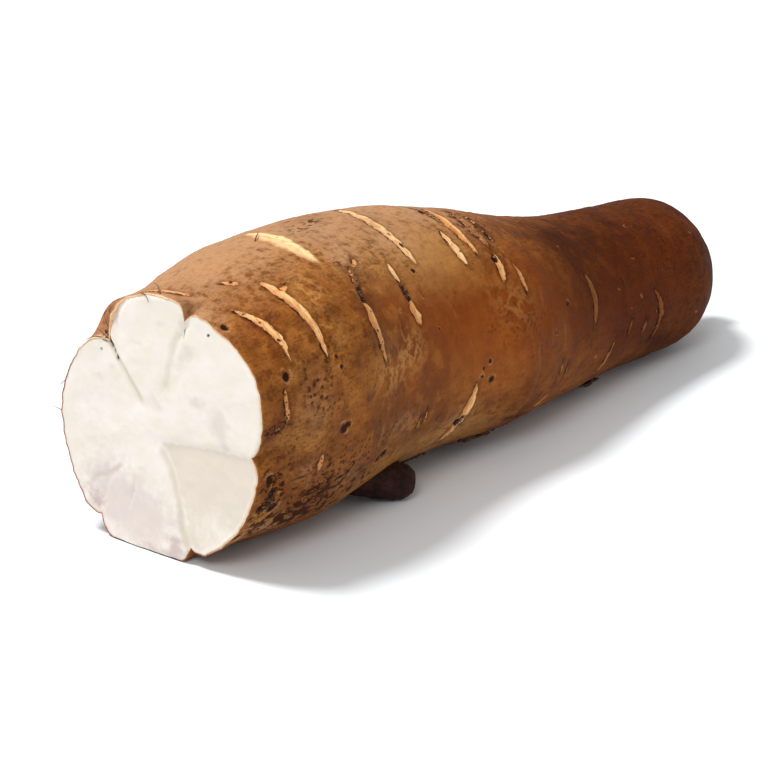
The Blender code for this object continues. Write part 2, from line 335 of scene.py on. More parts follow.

# Broad stains of the bark, with a painted sheen and a painted shadow among them, under the names that its
# material reads them by: place, half sizes along and round the root in millimetres, and strength. calm is
# where the fine grain fades.
Stain = namedtuple("Stain", "along angle half_along half_round strength")
STAINS = {
    "soil": (
        Stain(5.5, 110.0, 4.0, 10.0, 0.9),
        Stain(12.0, 126.0, 8.0, 6.0, 0.5),
        Stain(26.0, 116.0, 12.0, 9.0, 0.8),
        Stain(20.0, 136.0, 18.0, 7.0, 0.8),
        Stain(66.0, 352.0, 10.0, 6.0, 0.32),
        Stain(42.0, 130.0, 12.0, 6.0, 0.5),
        Stain(1.5, 319.0, 5.0, 6.0, 1.0),
        Stain(57.0, 3.0, 12.0, 6.0, 0.3),
        Stain(115.0, 20.0, 5.0, 18.0, 0.45),
        Stain(60.0, 44.0, 3.0, 4.0, 0.2),
        Stain(140.0, 135.0, 14.0, 4.0, 0.5),
        Stain(60.0, 215.0, 30.0, 16.0, 0.4),
        Stain(170.0, 200.0, 50.0, 20.0, 0.35),
    ),
    # Paler skin; along the top, from the cut to about 120 mm, it is a painted sheen.
    "pale": (
        Stain(16.0, 352.0, 22.0, 24.0, 0.8),
        Stain(3.0, 336.0, 4.0, 6.0, 0.9),
        Stain(2.0, 24.0, 4.0, 8.0, 0.5),
        Stain(40.0, 345.0, 26.0, 16.0, 0.7),
        Stain(60.0, 8.0, 22.0, 16.0, 0.45),
        Stain(84.0, 352.0, 26.0, 22.0, 0.75),
        Stain(108.0, 4.0, 16.0, 16.0, 0.5),
        Stain(78.0, 29.0, 8.0, 6.0, 0.4),
        Stain(54.0, 28.0, 7.0, 5.0, 0.4),
        Stain(90.0, 118.0, 8.0, 8.0, 0.4),
        Stain(60.0, 106.0, 12.0, 6.0, 0.35),
        Stain(10.0, 138.0, 14.0, 6.0, 0.6),
        Stain(18.0, 106.0, 8.0, 5.0, 0.3),
        Stain(58.0, 344.0, 14.0, 14.0, 0.4),
        Stain(52.0, 78.0, 10.0, 7.0, 0.15),
        Stain(18.0, 77.0, 7.0, 9.0, 0.35),
        Stain(34.0, 120.0, 12.0, 7.0, 0.3),
        Stain(80.0, 140.0, 22.0, 6.0, 0.25),
        Stain(120.0, 270.0, 40.0, 16.0, 0.4),
        Stain(136.0, 340.0, 18.0, 8.0, 0.4),
        Stain(172.0, 322.0, 24.0, 9.0, 0.4),
        Stain(206.0, 300.0, 20.0, 9.0, 0.35),
    ),
    "olive": (
        Stain(58.0, 33.0, 12.0, 11.0, 0.55),
        Stain(78.0, 37.0, 14.0, 13.0, 0.72),
        Stain(94.0, 32.0, 14.0, 14.0, 0.7),
        Stain(28.0, 14.0, 10.0, 8.0, 0.45),
        Stain(30.0, 345.0, 26.0, 14.0, 0.4),
        Stain(58.0, 132.0, 16.0, 9.0, 0.75),
        Stain(86.0, 130.0, 16.0, 9.0, 0.8),
        Stain(106.0, 132.0, 14.0, 7.0, 0.35),
        Stain(14.0, 88.0, 14.0, 8.0, 0.4),
        Stain(14.0, 62.0, 5.0, 5.0, 0.4),
        Stain(6.0, 128.0, 8.0, 8.0, 0.5),
        Stain(110.0, 250.0, 50.0, 22.0, 0.4),
    ),
    "red": (
        Stain(11.0, 46.0, 8.0, 11.0, 0.3),
        Stain(104.0, 82.0, 24.0, 16.0, 0.7),
        Stain(125.0, 60.0, 18.0, 18.0, 0.6),
        Stain(74.0, 56.0, 14.0, 12.0, 0.6),
        Stain(58.0, 52.0, 9.0, 7.0, 0.4),
        Stain(58.0, 86.0, 12.0, 10.0, 0.55),
        Stain(88.0, 74.0, 16.0, 12.0, 0.42),
        Stain(96.0, 60.0, 24.0, 8.0, 0.38),
        Stain(170.0, 90.0, 34.0, 16.0, 0.8),
        Stain(205.0, 40.0, 30.0, 20.0, 0.6),
        Stain(90.0, 230.0, 30.0, 14.0, 0.5),
    ),
    # Darker skin, strongest over the tail, where it is partly a painted shadow of another root lying across
    # it.
    "dark_and_painted_shadow": (
        Stain(214.0, 10.0, 54.0, 34.0, 0.9),
        Stain(190.0, 65.0, 36.0, 26.0, 0.95),
        Stain(146.0, 40.0, 14.0, 18.0, 0.5),
        Stain(232.0, 70.0, 22.0, 24.0, 0.8),
        Stain(222.0, 100.0, 44.0, 30.0, 0.75),
        Stain(180.0, 30.0, 30.0, 14.0, 0.5),
        Stain(40.0, 60.0, 7.0, 7.0, 0.2),
        Stain(92.0, 62.0, 24.0, 9.0, 0.3),
        Stain(80.0, 14.0, 9.0, 6.0, 0.25),
        Stain(88.0, 90.0, 10.0, 8.0, 0.25),
        Stain(124.0, 88.0, 12.0, 20.0, 0.4),
        Stain(56.0, 90.0, 12.0, 10.0, 0.3),
        Stain(40.0, 82.0, 6.0, 9.0, 0.25),
        Stain(118.0, 130.0, 18.0, 8.0, 0.2),
        Stain(22.0, 46.0, 8.0, 6.0, 0.2),
        Stain(150.0, 92.0, 24.0, 16.0, 0.35),
        Stain(32.6, 49.0, 3.6, 2.8, 0.9),
        Stain(35.6, 32.4, 1.6, 1.2, 0.8),
        Stain(66.0, 354.0, 9.0, 5.0, 0.35),
        Stain(150.0, 190.0, 90.0, 20.0, 0.4),
    ),
    # A darker brown on the side that faces -Y, mostly low and near the cut.
    "umber": (
        Stain(6.0, 80.0, 7.0, 16.0, 0.8),
        Stain(14.0, 125.0, 26.0, 20.0, 0.75),
        Stain(38.0, 66.0, 5.0, 5.0, 0.5),
        Stain(50.0, 110.0, 24.0, 14.0, 0.5),
        Stain(95.0, 120.0, 30.0, 12.0, 0.5),
    ),
    "calm": (
        Stain(72.0, 80.0, 24.0, 18.0, 0.9),
        Stain(60.0, 60.0, 10.0, 12.0, 0.8),
        Stain(90.0, 42.0, 12.0, 20.0, 0.9),
        Stain(112.0, 90.0, 26.0, 16.0, 0.7),
        Stain(130.0, 60.0, 16.0, 16.0, 0.6),
        Stain(176.0, 70.0, 40.0, 24.0, 0.6),
        Stain(24.0, 350.0, 20.0, 18.0, 0.3),
        Stain(40.0, 92.0, 10.0, 8.0, 0.5),
    ),
    "speckle": (
        Stain(18.0, 73.0, 6.0, 9.0, 1.0),
        Stain(26.0, 78.0, 5.0, 5.0, 0.6),
        Stain(42.0, 112.0, 12.0, 10.0, 0.9),
        Stain(24.0, 112.0, 10.0, 10.0, 0.9),
        Stain(8.0, 96.0, 6.0, 8.0, 0.4),
        Stain(112.0, 76.0, 14.0, 8.0, 0.5),
        Stain(60.0, 30.0, 20.0, 10.0, 0.2),
    ),
    "vein": (
        Stain(31.0, 36.0, 5.0, 6.0, 0.9),
        Stain(50.0, 80.0, 9.0, 6.0, 1.0),
        Stain(62.0, 74.0, 6.0, 6.0, 0.9),
        Stain(28.0, 52.0, 6.0, 7.0, 0.7),
        Stain(112.0, 66.0, 9.0, 8.0, 0.6),
        Stain(150.0, 250.0, 30.0, 12.0, 0.5),
        Stain(70.0, 280.0, 24.0, 12.0, 0.5),
    ),
}

# Scars and pits that no list places: how many there are, and the stretch and the angles they lie in.
BACK_SCARS = 34
BACK_STRETCH = (8.0, 226.0)
BACK_ANGLES = (150.0, 338.0)
RANDOM_PITS = 260
PITTED_STRETCH = (4.0, 238.0)


def spread_scars(rng):
    """Scars for the sides that SCARS leaves bare: the back and the underside."""
    scars = []
    for _ in range(BACK_SCARS):
        along = rng.uniform(*BACK_STRETCH)
        angle = rng.uniform(*BACK_ANGLES)
        half_turn = rng.uniform(5.0, 19.0)
        bow = rng.uniform(-1.8, 1.8)
        slant = rng.uniform(-2.5, 2.5)
        scars.append(
            Scar(
                (along - slant, angle - half_turn),
                (along + bow, angle),
                (along + slant, angle + half_turn),
                rng.uniform(1.1, 3.4),
                rng.choice((0.2, 0.5, 0.7, 0.85, 0.9)),
            )
        )
    return scars


def spread_pits(rng):
    """Small pits and knots, all over the skin."""
    return [
        Pit(
            rng.uniform(*PITTED_STRETCH),
            rng.uniform(0.0, 360.0),
            rng.uniform(0.25, 0.75),
            rng.choice((0.25, 0.35, -0.2, -0.3)),
        )
        for _ in range(RANDOM_PITS)
    ]


def scar_line(scar, steps=26):
    """Points of a scar: distances from the cut, angles from its middle, and the share of its length."""
    places = [scar.start, scar.middle, scar.end]
    angles = [from_middle(p[1], scar.middle[1]) for p in places]
    share = np.linspace(0.0, 1.0, steps)
    weights = (2 * (share - 0.5) * (share - 1), 4 * share * (1 - share), 2 * share * (share - 0.5))
    along = sum(w * p[0] for w, p in zip(weights, places))
    angle = sum(w * a for w, a in zip(weights, angles))
    return along, angle, share


def distance_to_line(x, y, line_x, line_y, line_share):
    """Signed distance from points to a broken line, and the share of its length at the nearest place.

    The distance is positive on the right of somebody who walks the line with y to the left of x."""
    nearest = np.full(x.shape, 1e9)
    share, side = np.zeros(x.shape), np.ones(x.shape)
    for i in range(len(line_x) - 1):
        dx, dy = line_x[i + 1] - line_x[i], line_y[i + 1] - line_y[i]
        t = np.clip(((x - line_x[i]) * dx + (y - line_y[i]) * dy) / (dx * dx + dy * dy), 0.0, 1.0)
        gap_x, gap_y = x - line_x[i] - t * dx, y - line_y[i] - t * dy
        gap = np.hypot(gap_x, gap_y)
        closer = gap < nearest
        nearest = np.where(closer, gap, nearest)
        share = np.where(closer, line_share[i] + t * (line_share[i + 1] - line_share[i]), share)
        side = np.where(closer, np.where(gap_x * dy - gap_y * dx >= 0.0, 1.0, -1.0), side)
    return nearest * side, share


# What the skin far from every scar is given, and how far a scar's fields reach, in millimetres along the
# root and in degrees round it.
FAR_FROM_SCARS = -4.0
SCARLESS_TONE = 0.7
SCAR_REACH = 5.0
SCAR_TURN = 9.0


def scar_fields(along, angle, scars, wobble):
    """For each point of the skin: how far inside the nearest scar it is and on which side of its middle
    line, in millimetres, and that scar's tone."""
    inside = np.full(along.shape, FAR_FROM_SCARS)
    side = np.zeros(along.shape)
    tone = np.full(along.shape, SCARLESS_TONE)
    for scar in scars:
        line_along, line_angle, share = scar_line(scar)
        offset = from_middle(angle, scar.middle[1])
        near = (along > line_along.min() - SCAR_REACH) & (along < line_along.max() + SCAR_REACH)
        near &= offset > line_angle.min() - SCAR_TURN
        near &= offset < line_angle.max() + SCAR_TURN
        if not near.any():
            continue
        to_mm = math.radians(1.0) * radius_at(scar.middle[0])
        gap, at = distance_to_line(
            along[near], offset[near] * to_mm, line_along, line_angle * to_mm, share
        )
        taper = np.sin(math.pi * np.clip(at, 0.0, 1.0)) ** 0.7
        half = 0.5 * scar.width * taper * (1.0 + 0.4 * wobble[near])
        deeper = half - np.abs(gap)
        better = deeper > inside[near]
        inside[near] = np.where(better, deeper, inside[near])
        side[near] = np.where(better, gap, side[near])
        tone[near] = np.where(better, scar.tone, tone[near])
    return inside, side, tone


# How dark the middle of a pit and of a knot is.
PIT_STRENGTH = 0.9
KNOT_STRENGTH = 0.3


def pit_fields(along, angle, pits):
    """For each point of the skin: the height that pits and knots add, and how dark they make it."""
    height = np.zeros(along.shape)
    dark = np.zeros(along.shape)
    for pit in pits:
        rows = np.abs(along[:, 0] - pit.along) < 3.0 * pit.radius + 0.5
        offset = from_middle(angle[rows], pit.angle) * math.radians(1.0) * radius_at(pit.along)
        gap = np.hypot(along[rows] - pit.along, offset) / pit.radius
        height[rows] -= pit.depth * np.exp(-(gap**2))
        strength = PIT_STRENGTH if pit.depth > 0 else KNOT_STRENGTH
        dark[rows] = np.maximum(dark[rows], strength * np.exp(-(gap**2)))
    return height, dark


def stain_field(along, angle, stains):
    """How strongly each point of the skin is stained, from 0 to 1."""
    field = np.zeros(along.shape)
    for s in stains:
        offset = from_middle(angle, s.angle) * math.radians(1.0) * radius_at(s.along)
        gap = np.hypot((along - s.along) / s.half_along, offset / s.half_round)
        field += s.strength * np.exp(-(gap**2))
    return np.clip(field, 0.0, 1.0)


# ---------------------------------------------------------------- mesh tools


# The name under which vertices hold their order while a mesh is built.
COUNTER = "counter"


def next_ring(bm, ring, edges):
    """Extrudes a ring of edges, and gives the new ring's vertices, in the same order, and its edges."""
    grown = bmesh.ops.extrude_edge_only(bm, edges=edges)["geom"]
    new = {g for g in grown if isinstance(g, bmesh.types.BMVert)}
    ring = [next(e.other_vert(v) for e in v.link_edges if e.other_vert(v) in new) for v in ring]
    return ring, [g for g in grown if isinstance(g, bmesh.types.BMEdge)]


def add_skin(bm, rings):
    """Adds a closed skin through rings of points, in metres: a circle extruded from ring to ring and closed
    at both ends. The vertices note their order, along each ring and then from ring to ring."""
    counter = bm.verts.layers.int[COUNTER]
    number = len(bm.verts)
    ring = bmesh.ops.create_circle(bm, cap_ends=False, segments=rings.shape[1], radius=MM)["verts"]
    edges = [e for e in bm.edges if e.is_wire]
    ends = list(edges)
    for row, points in enumerate(rings.tolist()):
        if row:
            ring, edges = next_ring(bm, ring, edges)
        for vertex, point in zip(ring, points):
            vertex.co = point
            vertex[counter] = number
            number += 1
    bmesh.ops.holes_fill(bm, edges=ends + edges, sides=0)


def mesh_of_skins(skins, name):
    """The mesh of one or more closed skins, smooth, with its faces outwards and in the order of its rings."""
    bm = bmesh.new()
    bm.verts.layers.int.new(COUNTER)
    for rings in skins:
        add_skin(bm, rings)
    counter = bm.verts.layers.int[COUNTER]
    bm.verts.sort(key=lambda v: v[counter])
    bm.verts.layers.int.remove(counter)
    bm.verts.index_update()
    count = len(bm.verts)

    def face_order(face):
        corners = [v.index for v in face.verts]
        return min(corners) * count + max(corners)

    bm.faces.sort(key=face_order)
    return mesh_from(bm, name)


def mesh_from(bm, name):
    """The finished mesh, smooth and with its faces outwards."""
    bmesh.ops.recalc_face_normals(bm, faces=bm.faces)
    mesh = bpy.data.meshes.new(name)
    bm.to_mesh(mesh)
    bm.free()
    mesh.shade_smooth()
    return mesh


def tube_rings(points, radii, sides):
    """The rings of a round tube through points."""
    steps = np.linspace(0.0, 2.0 * math.pi, sides, endpoint=False)
    across = None
    rings = []
    for row, (point, radius) in enumerate(zip(points, radii)):
        heading = Vector(points[min(row + 1, len(points) - 1)] - points[max(row - 1, 0)]).normalized()
        if across is None:
            across = heading.orthogonal()
        across = (across - heading * across.dot(heading)).normalized()
        other = heading.cross(across)
        rings.append([Vector(point) + (across * math.cos(a) + other * math.sin(a)) * radius for a in steps])
    return np.array(rings)


def paint(mesh, name, values):
    """Stores one number per vertex of a skin, in the order of its rings, for the materials to read."""
    layer = mesh.attributes.new(name, "FLOAT", "POINT")
    layer.data.foreach_set("value", np.asarray(values, dtype=np.float32).reshape(-1))


def grid_normals(points):
    """Outward directions of a closed tube of rings, from its neighbours on both sides."""
    round_way = np.roll(points, -1, axis=1) - np.roll(points, 1, axis=1)
    along_way = np.gradient(points, axis=0)
    normals = np.cross(round_way, along_way)
    return normals / np.maximum(np.linalg.norm(normals, axis=-1, keepdims=True), 1e-12)


def put_in_scene(name, data):
    """A new object of the scene, at the origin."""
    made = bpy.data.objects.new(name, data)
    bpy.context.scene.collection.objects.link(made)
    return made


def piece(name, mesh, material):
    """A finished object that rides with the root and stands for it."""
    made = put_in_scene(name, mesh)
    mesh.materials.append(material)
    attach(made, "root")
    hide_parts("cassava_root")
    return made


# ---------------------------------------------------------------- material tools


class Nodes:
    """Short names for the shader nodes that the materials here are made of."""

    def __init__(self, name):
        self.material = bpy.data.materials.new(name)
        self.material.use_nodes = True
        self.tree = self.material.node_tree
        self.shader = self.tree.nodes["Principled BSDF"]

    def link(self, value, socket):
        """Gives a socket a number, a colour or vector, or another node's output."""
        if isinstance(value, (int, float)):
            socket.default_value = value
        elif isinstance(value, tuple):
            socket.default_value = (*value, 1.0) if len(socket.default_value) == 4 else value
        else:
            self.tree.links.new(value, socket)

    def math(self, operation, a, b=0.0, clamp=False):
        node = self.tree.nodes.new("ShaderNodeMath")
        node.operation, node.use_clamp = operation, clamp
        self.link(a, node.inputs[0])
        self.link(b, node.inputs[1])
        return node.outputs[0]

    def times(self, a, b, clamp=False):
        return self.math("MULTIPLY", a, b, clamp)

    def plus(self, a, b, clamp=False):
        return self.math("ADD", a, b, clamp)

    def minus(self, a, b):
        return self.math("SUBTRACT", a, b)

    def vector(self, operation, a, b):
        node = self.tree.nodes.new("ShaderNodeVectorMath")
        node.operation = operation
        self.link(a, node.inputs[0])
        self.link(b, node.inputs[1])
        return node.outputs[0]

    def millimetres(self):
        """The place on the piece, in millimetres."""
        own = self.tree.nodes.new("ShaderNodeTexCoord").outputs["Object"]
        return self.vector("MULTIPLY", own, (1000.0, 1000.0, 1000.0))

    def painted(self, name):
        """What paint() stored on the mesh under this name."""
        node = self.tree.nodes.new("ShaderNodeAttribute")
        node.attribute_name = name
        return node.outputs["Fac"]

    def cloud(self, where, size, detail=4.0, roughness=0.55, squeeze=(1.0, 1.0, 1.0)):
        """Noise whose lumps are about size millimetres, stretched along an axis where squeeze is under 1."""
        node = self.tree.nodes.new("ShaderNodeTexNoise")
        self.link(self.vector("MULTIPLY", where, squeeze), node.inputs["Vector"])
        node.inputs["Scale"].default_value = 1.0 / size
        node.inputs["Detail"].default_value = detail
        node.inputs["Roughness"].default_value = roughness
        return node.outputs["Fac"]

    def cells(self, where, size):
        """How far each place is from the middle of its cell. The cells are about size millimetres wide."""
        node = self.tree.nodes.new("ShaderNodeTexVoronoi")
        node.feature = "F1"
        self.link(where, node.inputs["Vector"])
        node.inputs["Scale"].default_value = 1.0 / size
        return node.outputs["Distance"]

    def ramp(self, value, low, high, out_low=0.0, out_high=1.0):
        """value between low and high, smoothly mapped to between out_low and out_high."""
        node = self.tree.nodes.new("ShaderNodeMapRange")
        node.interpolation_type = "SMOOTHSTEP"
        self.link(value, node.inputs["Value"])
        ends = {"From Min": low, "From Max": high, "To Min": out_low, "To Max": out_high}
        for socket, number in ends.items():
            node.inputs[socket].default_value = number
        return node.outputs["Result"]

    def mix(self, share, a, b, blend="MIX"):
        """a where the share is 0, b over it where the share is 1."""
        node = self.tree.nodes.new("ShaderNodeMix")
        node.data_type, node.blend_type = "RGBA", blend
        self.link(share, node.inputs["Factor"])
        self.link(a, node.inputs["A"])
        self.link(b, node.inputs["B"])
        return node.outputs["Result"]

    def bump(self, height, strength, distance, under=None):
        """Relief of the given distance in millimetres, on top of another."""
        node = self.tree.nodes.new("ShaderNodeBump")
        node.inputs["Strength"].default_value = strength
        node.inputs["Distance"].default_value = distance * MM
        self.link(height, node.inputs["Height"])
        if under is not None:
            self.link(under, node.inputs["Normal"])
        return node.outputs["Normal"]


def colour(red, green, blue):
    """A screen colour from 0 to 255 as the linear colour that a shader takes."""
    return tuple(
        c / 255.0 / 12.92 if c <= 10.3 else ((c / 255.0 + 0.055) / 1.055) ** 2.4 for c in (red, green, blue)
    )


# Tints of the bark: its own browns, then what lies over them, in that order, with a painted sheen and a
# painted shadow among them.
BARK_DARK = colour(112, 60, 16)
BARK_LIGHT = colour(149, 88, 33)
PATCH_LIGHT = colour(172, 110, 50)
PATCH_DARK = colour(84, 40, 13)
STAIN_RED = colour(142, 66, 14)
# A darker brown, mostly low on the side that faces -Y.
DARKER_UMBER = colour(112, 62, 28)
STAIN_OLIVE = colour(178, 126, 68)
# Paler skin, and along the top a painted sheen.
PALE_AND_PAINTED_SHEEN = colour(184, 139, 100)
WORN = colour(76, 38, 14)
BAND = colour(190, 134, 76)
FIBRE = colour(82, 40, 14)
DASH = colour(84, 44, 20)
GRAIN = colour(66, 32, 12)
VEIN = colour(206, 154, 88)
SPECK = colour(64, 30, 12)
SOIL = colour(48, 21, 8)
# Darker towards the tail: darker skin, and over the tail partly a painted shadow of another root.
DARKER_AND_SHADOW_TINT = (0.30, 0.19, 0.12)
PIT_RING = colour(190, 136, 90)
PIT_DARK = colour(42, 18, 9)

# Tints of the scars: healed skin with a painted highlight and painted shade, the cracks of broken ones, and
# the bark beside them.
SCAR_PAINTED_SHADE = colour(204, 136, 82)
SCAR_PAINTED_HIGHLIGHT = colour(244, 198, 128)
SCAR_RIM = colour(198, 130, 76)
SCAR_PALEST = colour(252, 222, 168)
SCAR_DULL = colour(176, 118, 72)
SCAR_BLUSH = colour(206, 132, 82)
SCAR_MARK = colour(150, 86, 44)
SCAR_PECK = colour(70, 34, 14)
SCAR_CROSSING = colour(56, 26, 12)
SCAR_HALO = colour(74, 34, 13)
SCAR_LINE = colour(46, 20, 9)
CRACK_DARK = colour(36, 16, 8)
CRACK_BROWN = colour(104, 54, 24)
CRACK_BIT = colour(206, 148, 96)

# Tints of the cut: the peel's rim, the flesh, and the stains on it, with painted shade among them.
PEEL_TAN = colour(176, 126, 96)
PEEL_PALE = colour(230, 196, 154)
PEEL_BRUISED = colour(138, 84, 66)
PEEL_SPOT = colour(190, 138, 98)
FLESH_WHITE = colour(223, 215, 207)
FLESH_CREAM = colour(219, 210, 197)
FLESH_RAY = colour(206, 198, 190)
FLESH_LILAC = colour(204, 192, 186)
# Greyer flesh of the sunk sector, partly painted shade.
FLESH_SECTOR_TONE_AND_SHADE = colour(206, 194, 179)
FLESH_MURK = colour(205, 196, 186)
# Mauve grey, partly painted shade where the top lobe's edge turns away.
FLESH_MAUVE_AND_SHADE = colour(184, 164, 160)
# Grey along the folds, partly painted shade in the creases.
FLESH_FOLD_TONE_AND_SHADE = colour(194, 182, 160)
FLESH_TAN = colour(206, 172, 140)
FLESH_SOIL = colour(52, 26, 16)
FLESH_EDGE = colour(222, 196, 166)

# Tints of the stump, its fibres and its cut face, and the dark and light tints of rootlets and soil.
STUMP_DARK = colour(31, 16, 12)
STUMP_LIGHT = colour(58, 33, 27)
STUMP_FIBRE = colour(17, 9, 7)
STUMP_CUT_DARK = colour(84, 58, 50)
STUMP_CUT_LIGHT = colour(108, 78, 66)
ROOTLET_TINTS = (colour(52, 34, 24), colour(96, 66, 42))
SOIL_TINTS = (colour(40, 22, 13), colour(72, 42, 24))

# Ways to stretch a noise: along the root, in dashes or strokes, round it, or along the stump.
ALONG = (0.16, 1.0, 1.0)
DASHED = (0.34, 1.0, 1.0)
STROKED = (0.5, 1.0, 1.0)
ROUND = (1.0, 0.22, 0.22)
ALONG_STUMP = (0.3, 0.45, 1.0)

# Shine is the specular level. The flesh glows, because light goes into it and comes out nearby.
BARK_SHINE = 0.07
BARK_SHINE_TINT = (1.0, 0.76, 0.58, 1.0)
FLESH_SHINE = 0.3
STUMP_SHINE = 0.1
FLESH_GLOW = 0.2
FLESH_GLOW_REACH = (1.0, 0.8, 0.6)
FLESH_GLOW_DEPTH = 1.5 * MM


def healed_colour(n, where, side, tone, inside):
    """Healed skin: a painted highlight on one side and painted shade on the other, darker at the rim, and
    pecked where its tone is low.
    """
    # Painted highlight on one side of each scar, painted shade on the other.
    healed = n.mix(n.ramp(side, -1.0, 0.9), SCAR_PAINTED_SHADE, SCAR_PAINTED_HIGHLIGHT)
    healed = n.mix(n.ramp(inside, 0.75, 0.1, 0.0, 0.5), healed, SCAR_RIM)
    healed = n.mix(n.ramp(tone, 0.7, 1.0, 0.0, 0.6), healed, SCAR_PALEST)
    healed = n.mix(n.ramp(tone, 0.75, 0.40, 0.0, 0.75), healed, SCAR_DULL)
    healed = n.mix(n.ramp(n.cloud(where, 2.0, 3.0), 0.46, 0.66, 0.0, 0.5), healed, SCAR_BLUSH)
    fine = n.cloud(where, 0.7, 2.0, 0.5, ROUND)
    marked = n.times(n.ramp(fine, 0.48, 0.36, 0.0, 0.45), n.ramp(tone, 0.93, 1.0, 1.0, 0.2))
    healed = n.mix(marked, healed, SCAR_MARK)
    pecks = n.times(n.ramp(n.cells(where, 1.1), 0.36, 0.26), n.ramp(tone, 0.52, 0.44))
    return n.mix(n.times(pecks, 0.85), healed, SCAR_PECK)


def cracked_colour(n, where, tone):
    """A dark broken crack with brown and light bits in it, fewer where its tone is lowest."""
    broken = n.cloud(where, 1.5, 3.0, 0.6)
    bits = n.times(n.ramp(broken, 0.54, 0.62), n.ramp(tone, 0.0, 0.1, 0.3, 1.0))
    cracked = n.mix(bits, CRACK_DARK, CRACK_BIT)
    return n.mix(n.ramp(broken, 0.44, 0.50), CRACK_BROWN, cracked)


def scar_colour(n, where, skin):
    """The skin with its scars, dark lines beside them and marks across them.

    Also gives how far inside a scar each place is, with a ragged edge."""
    side, tone = n.painted("scar_side"), n.painted("scar_tone")
    ragged = n.minus(n.cloud(where, 2.0, 5.0, 0.65), 0.5)
    ragged = n.times(ragged, n.ramp(tone, 0.93, 1.0, 1.3, 0.5))
    inside = n.plus(n.painted("scar"), ragged)
    healed = healed_colour(n, where, side, tone, inside)
    scar = n.mix(n.ramp(tone, 0.2, 0.4), cracked_colour(n, where, tone), healed)
    crossing = n.plus(n.cells(where, 2.9), n.times(ragged, 0.1))
    scar = n.mix(n.ramp(crossing, 0.15, 0.10, 0.0, 0.85), scar, SCAR_CROSSING)
    hard = n.ramp(tone, 1.0, 0.93)
    halo = n.times(n.ramp(inside, -1.6, -0.1, 0.0, 0.34), hard)
    skin = n.mix(halo, skin, SCAR_HALO)
    line = n.times(n.ramp(inside, -0.8, -0.1), n.ramp(side, 0.4, -0.5, 0.05, 1.0))
    line = n.times(line, n.ramp(n.cloud(where, 2.2, 2.0), 0.46, 0.56, 0.0, 1.0))
    skin = n.mix(n.times(line, hard), skin, SCAR_LINE)
    edge = n.mix(hard, n.ramp(inside, -1.0, 1.2), n.ramp(inside, -0.02, 0.2))
    return n.mix(edge, skin, scar), inside


def stains_and_sheen_colour(n, skin, patches, rough_edge):
    """The skin with its broad red and olive stains, a darker umber brown, and pale skin that along the top is
    a painted sheen. Also gives how pale each place is.
    """
    skin = n.mix(n.times(n.painted("red"), 0.75), skin, STAIN_RED)
    skin = n.mix(n.times(n.painted("umber"), 0.7), skin, DARKER_UMBER)
    held = n.painted("olive")
    olive = n.plus(held, n.times(n.minus(patches, 0.5), 0.8), True)
    olive = n.times(olive, n.ramp(held, 0.0, 0.3))
    skin = n.mix(n.times(olive, 0.8), skin, STAIN_OLIVE)
    # Paler skin, along the top a painted sheen.
    held = n.painted("pale")
    pale = n.ramp(n.plus(held, n.times(rough_edge, n.ramp(held, 0.0, 0.4))), 0.0, 1.0)
    return n.mix(n.times(pale, 0.85), skin, PALE_AND_PAINTED_SHEEN), pale


def grained_colour(n, where, skin, pale, blots, grain, fibres):
    """The skin with worn spots, fibres, dashes and grain, all weaker where it is pale or calm, and with
    light bands and veins."""
    busy = n.times(n.ramp(pale, 0.2, 0.9, 1.0, 0.45), n.ramp(n.painted("calm"), 0.0, 1.0, 1.0, 0.25))
    dashes = n.cloud(where, 0.7, 2.0, 0.5, DASHED)
    bands = n.cloud(where, 5.0, 4.0, 0.6, ROUND)
    skin = n.mix(n.times(n.ramp(blots, 0.50, 0.34, 0.0, 0.5), busy), skin, WORN)
    skin = n.mix(n.ramp(bands, 0.58, 0.74, 0.0, 0.3), skin, BAND)
    skin = n.mix(n.times(n.ramp(fibres, 0.52, 0.36, 0.0, 0.34), busy), skin, FIBRE)
    skin = n.mix(n.times(n.ramp(dashes, 0.66, 0.72, 0.0, 0.7), busy), skin, DASH)
    skin = n.mix(n.times(n.ramp(grain, 0.50, 0.36, 0.0, 0.32), busy), skin, GRAIN)
    veins = n.math("ABSOLUTE", n.minus(n.cloud(where, 5.0, 4.0, 0.6), 0.5))
    veins = n.times(n.ramp(veins, 0.09, 0.0), n.painted("vein"))
    return n.mix(n.times(veins, 0.5), skin, VEIN)


def soiled_colour(n, where, skin, rough_edge):
    """The skin with dark specks and rubbed-in soil. Also gives how soiled each place is."""
    spread = n.ramp(n.cloud(where, 9.0, 2.0), 0.56, 0.7, 0.0, 0.5)
    cell = n.plus(n.cells(where, 1.7), n.times(rough_edge, 0.5))
    dots = n.times(n.ramp(cell, 0.37, 0.25), n.plus(n.painted("speckle"), spread, True))
    skin = n.mix(n.times(dots, 0.9, True), skin, SPECK)
    soil = n.painted("soil")
    near = n.ramp(soil, 0.1, 0.4)
    streaks = n.times(n.ramp(n.cloud(where, 1.3, 3.0, 0.6, STROKED), 0.54, 0.57), near)
    streaks = n.times(streaks, n.ramp(n.cloud(where, 5.0, 2.0), 0.42, 0.54))
    ground_in = n.plus(soil, n.times(n.minus(n.cloud(where, 3.2, 4.0, 0.6), 0.5), 2.6))
    soiled = n.math("MAXIMUM", n.times(n.ramp(ground_in, 0.82, 0.94), near), streaks)
    return n.mix(n.times(soiled, 0.92), skin, SOIL), soiled


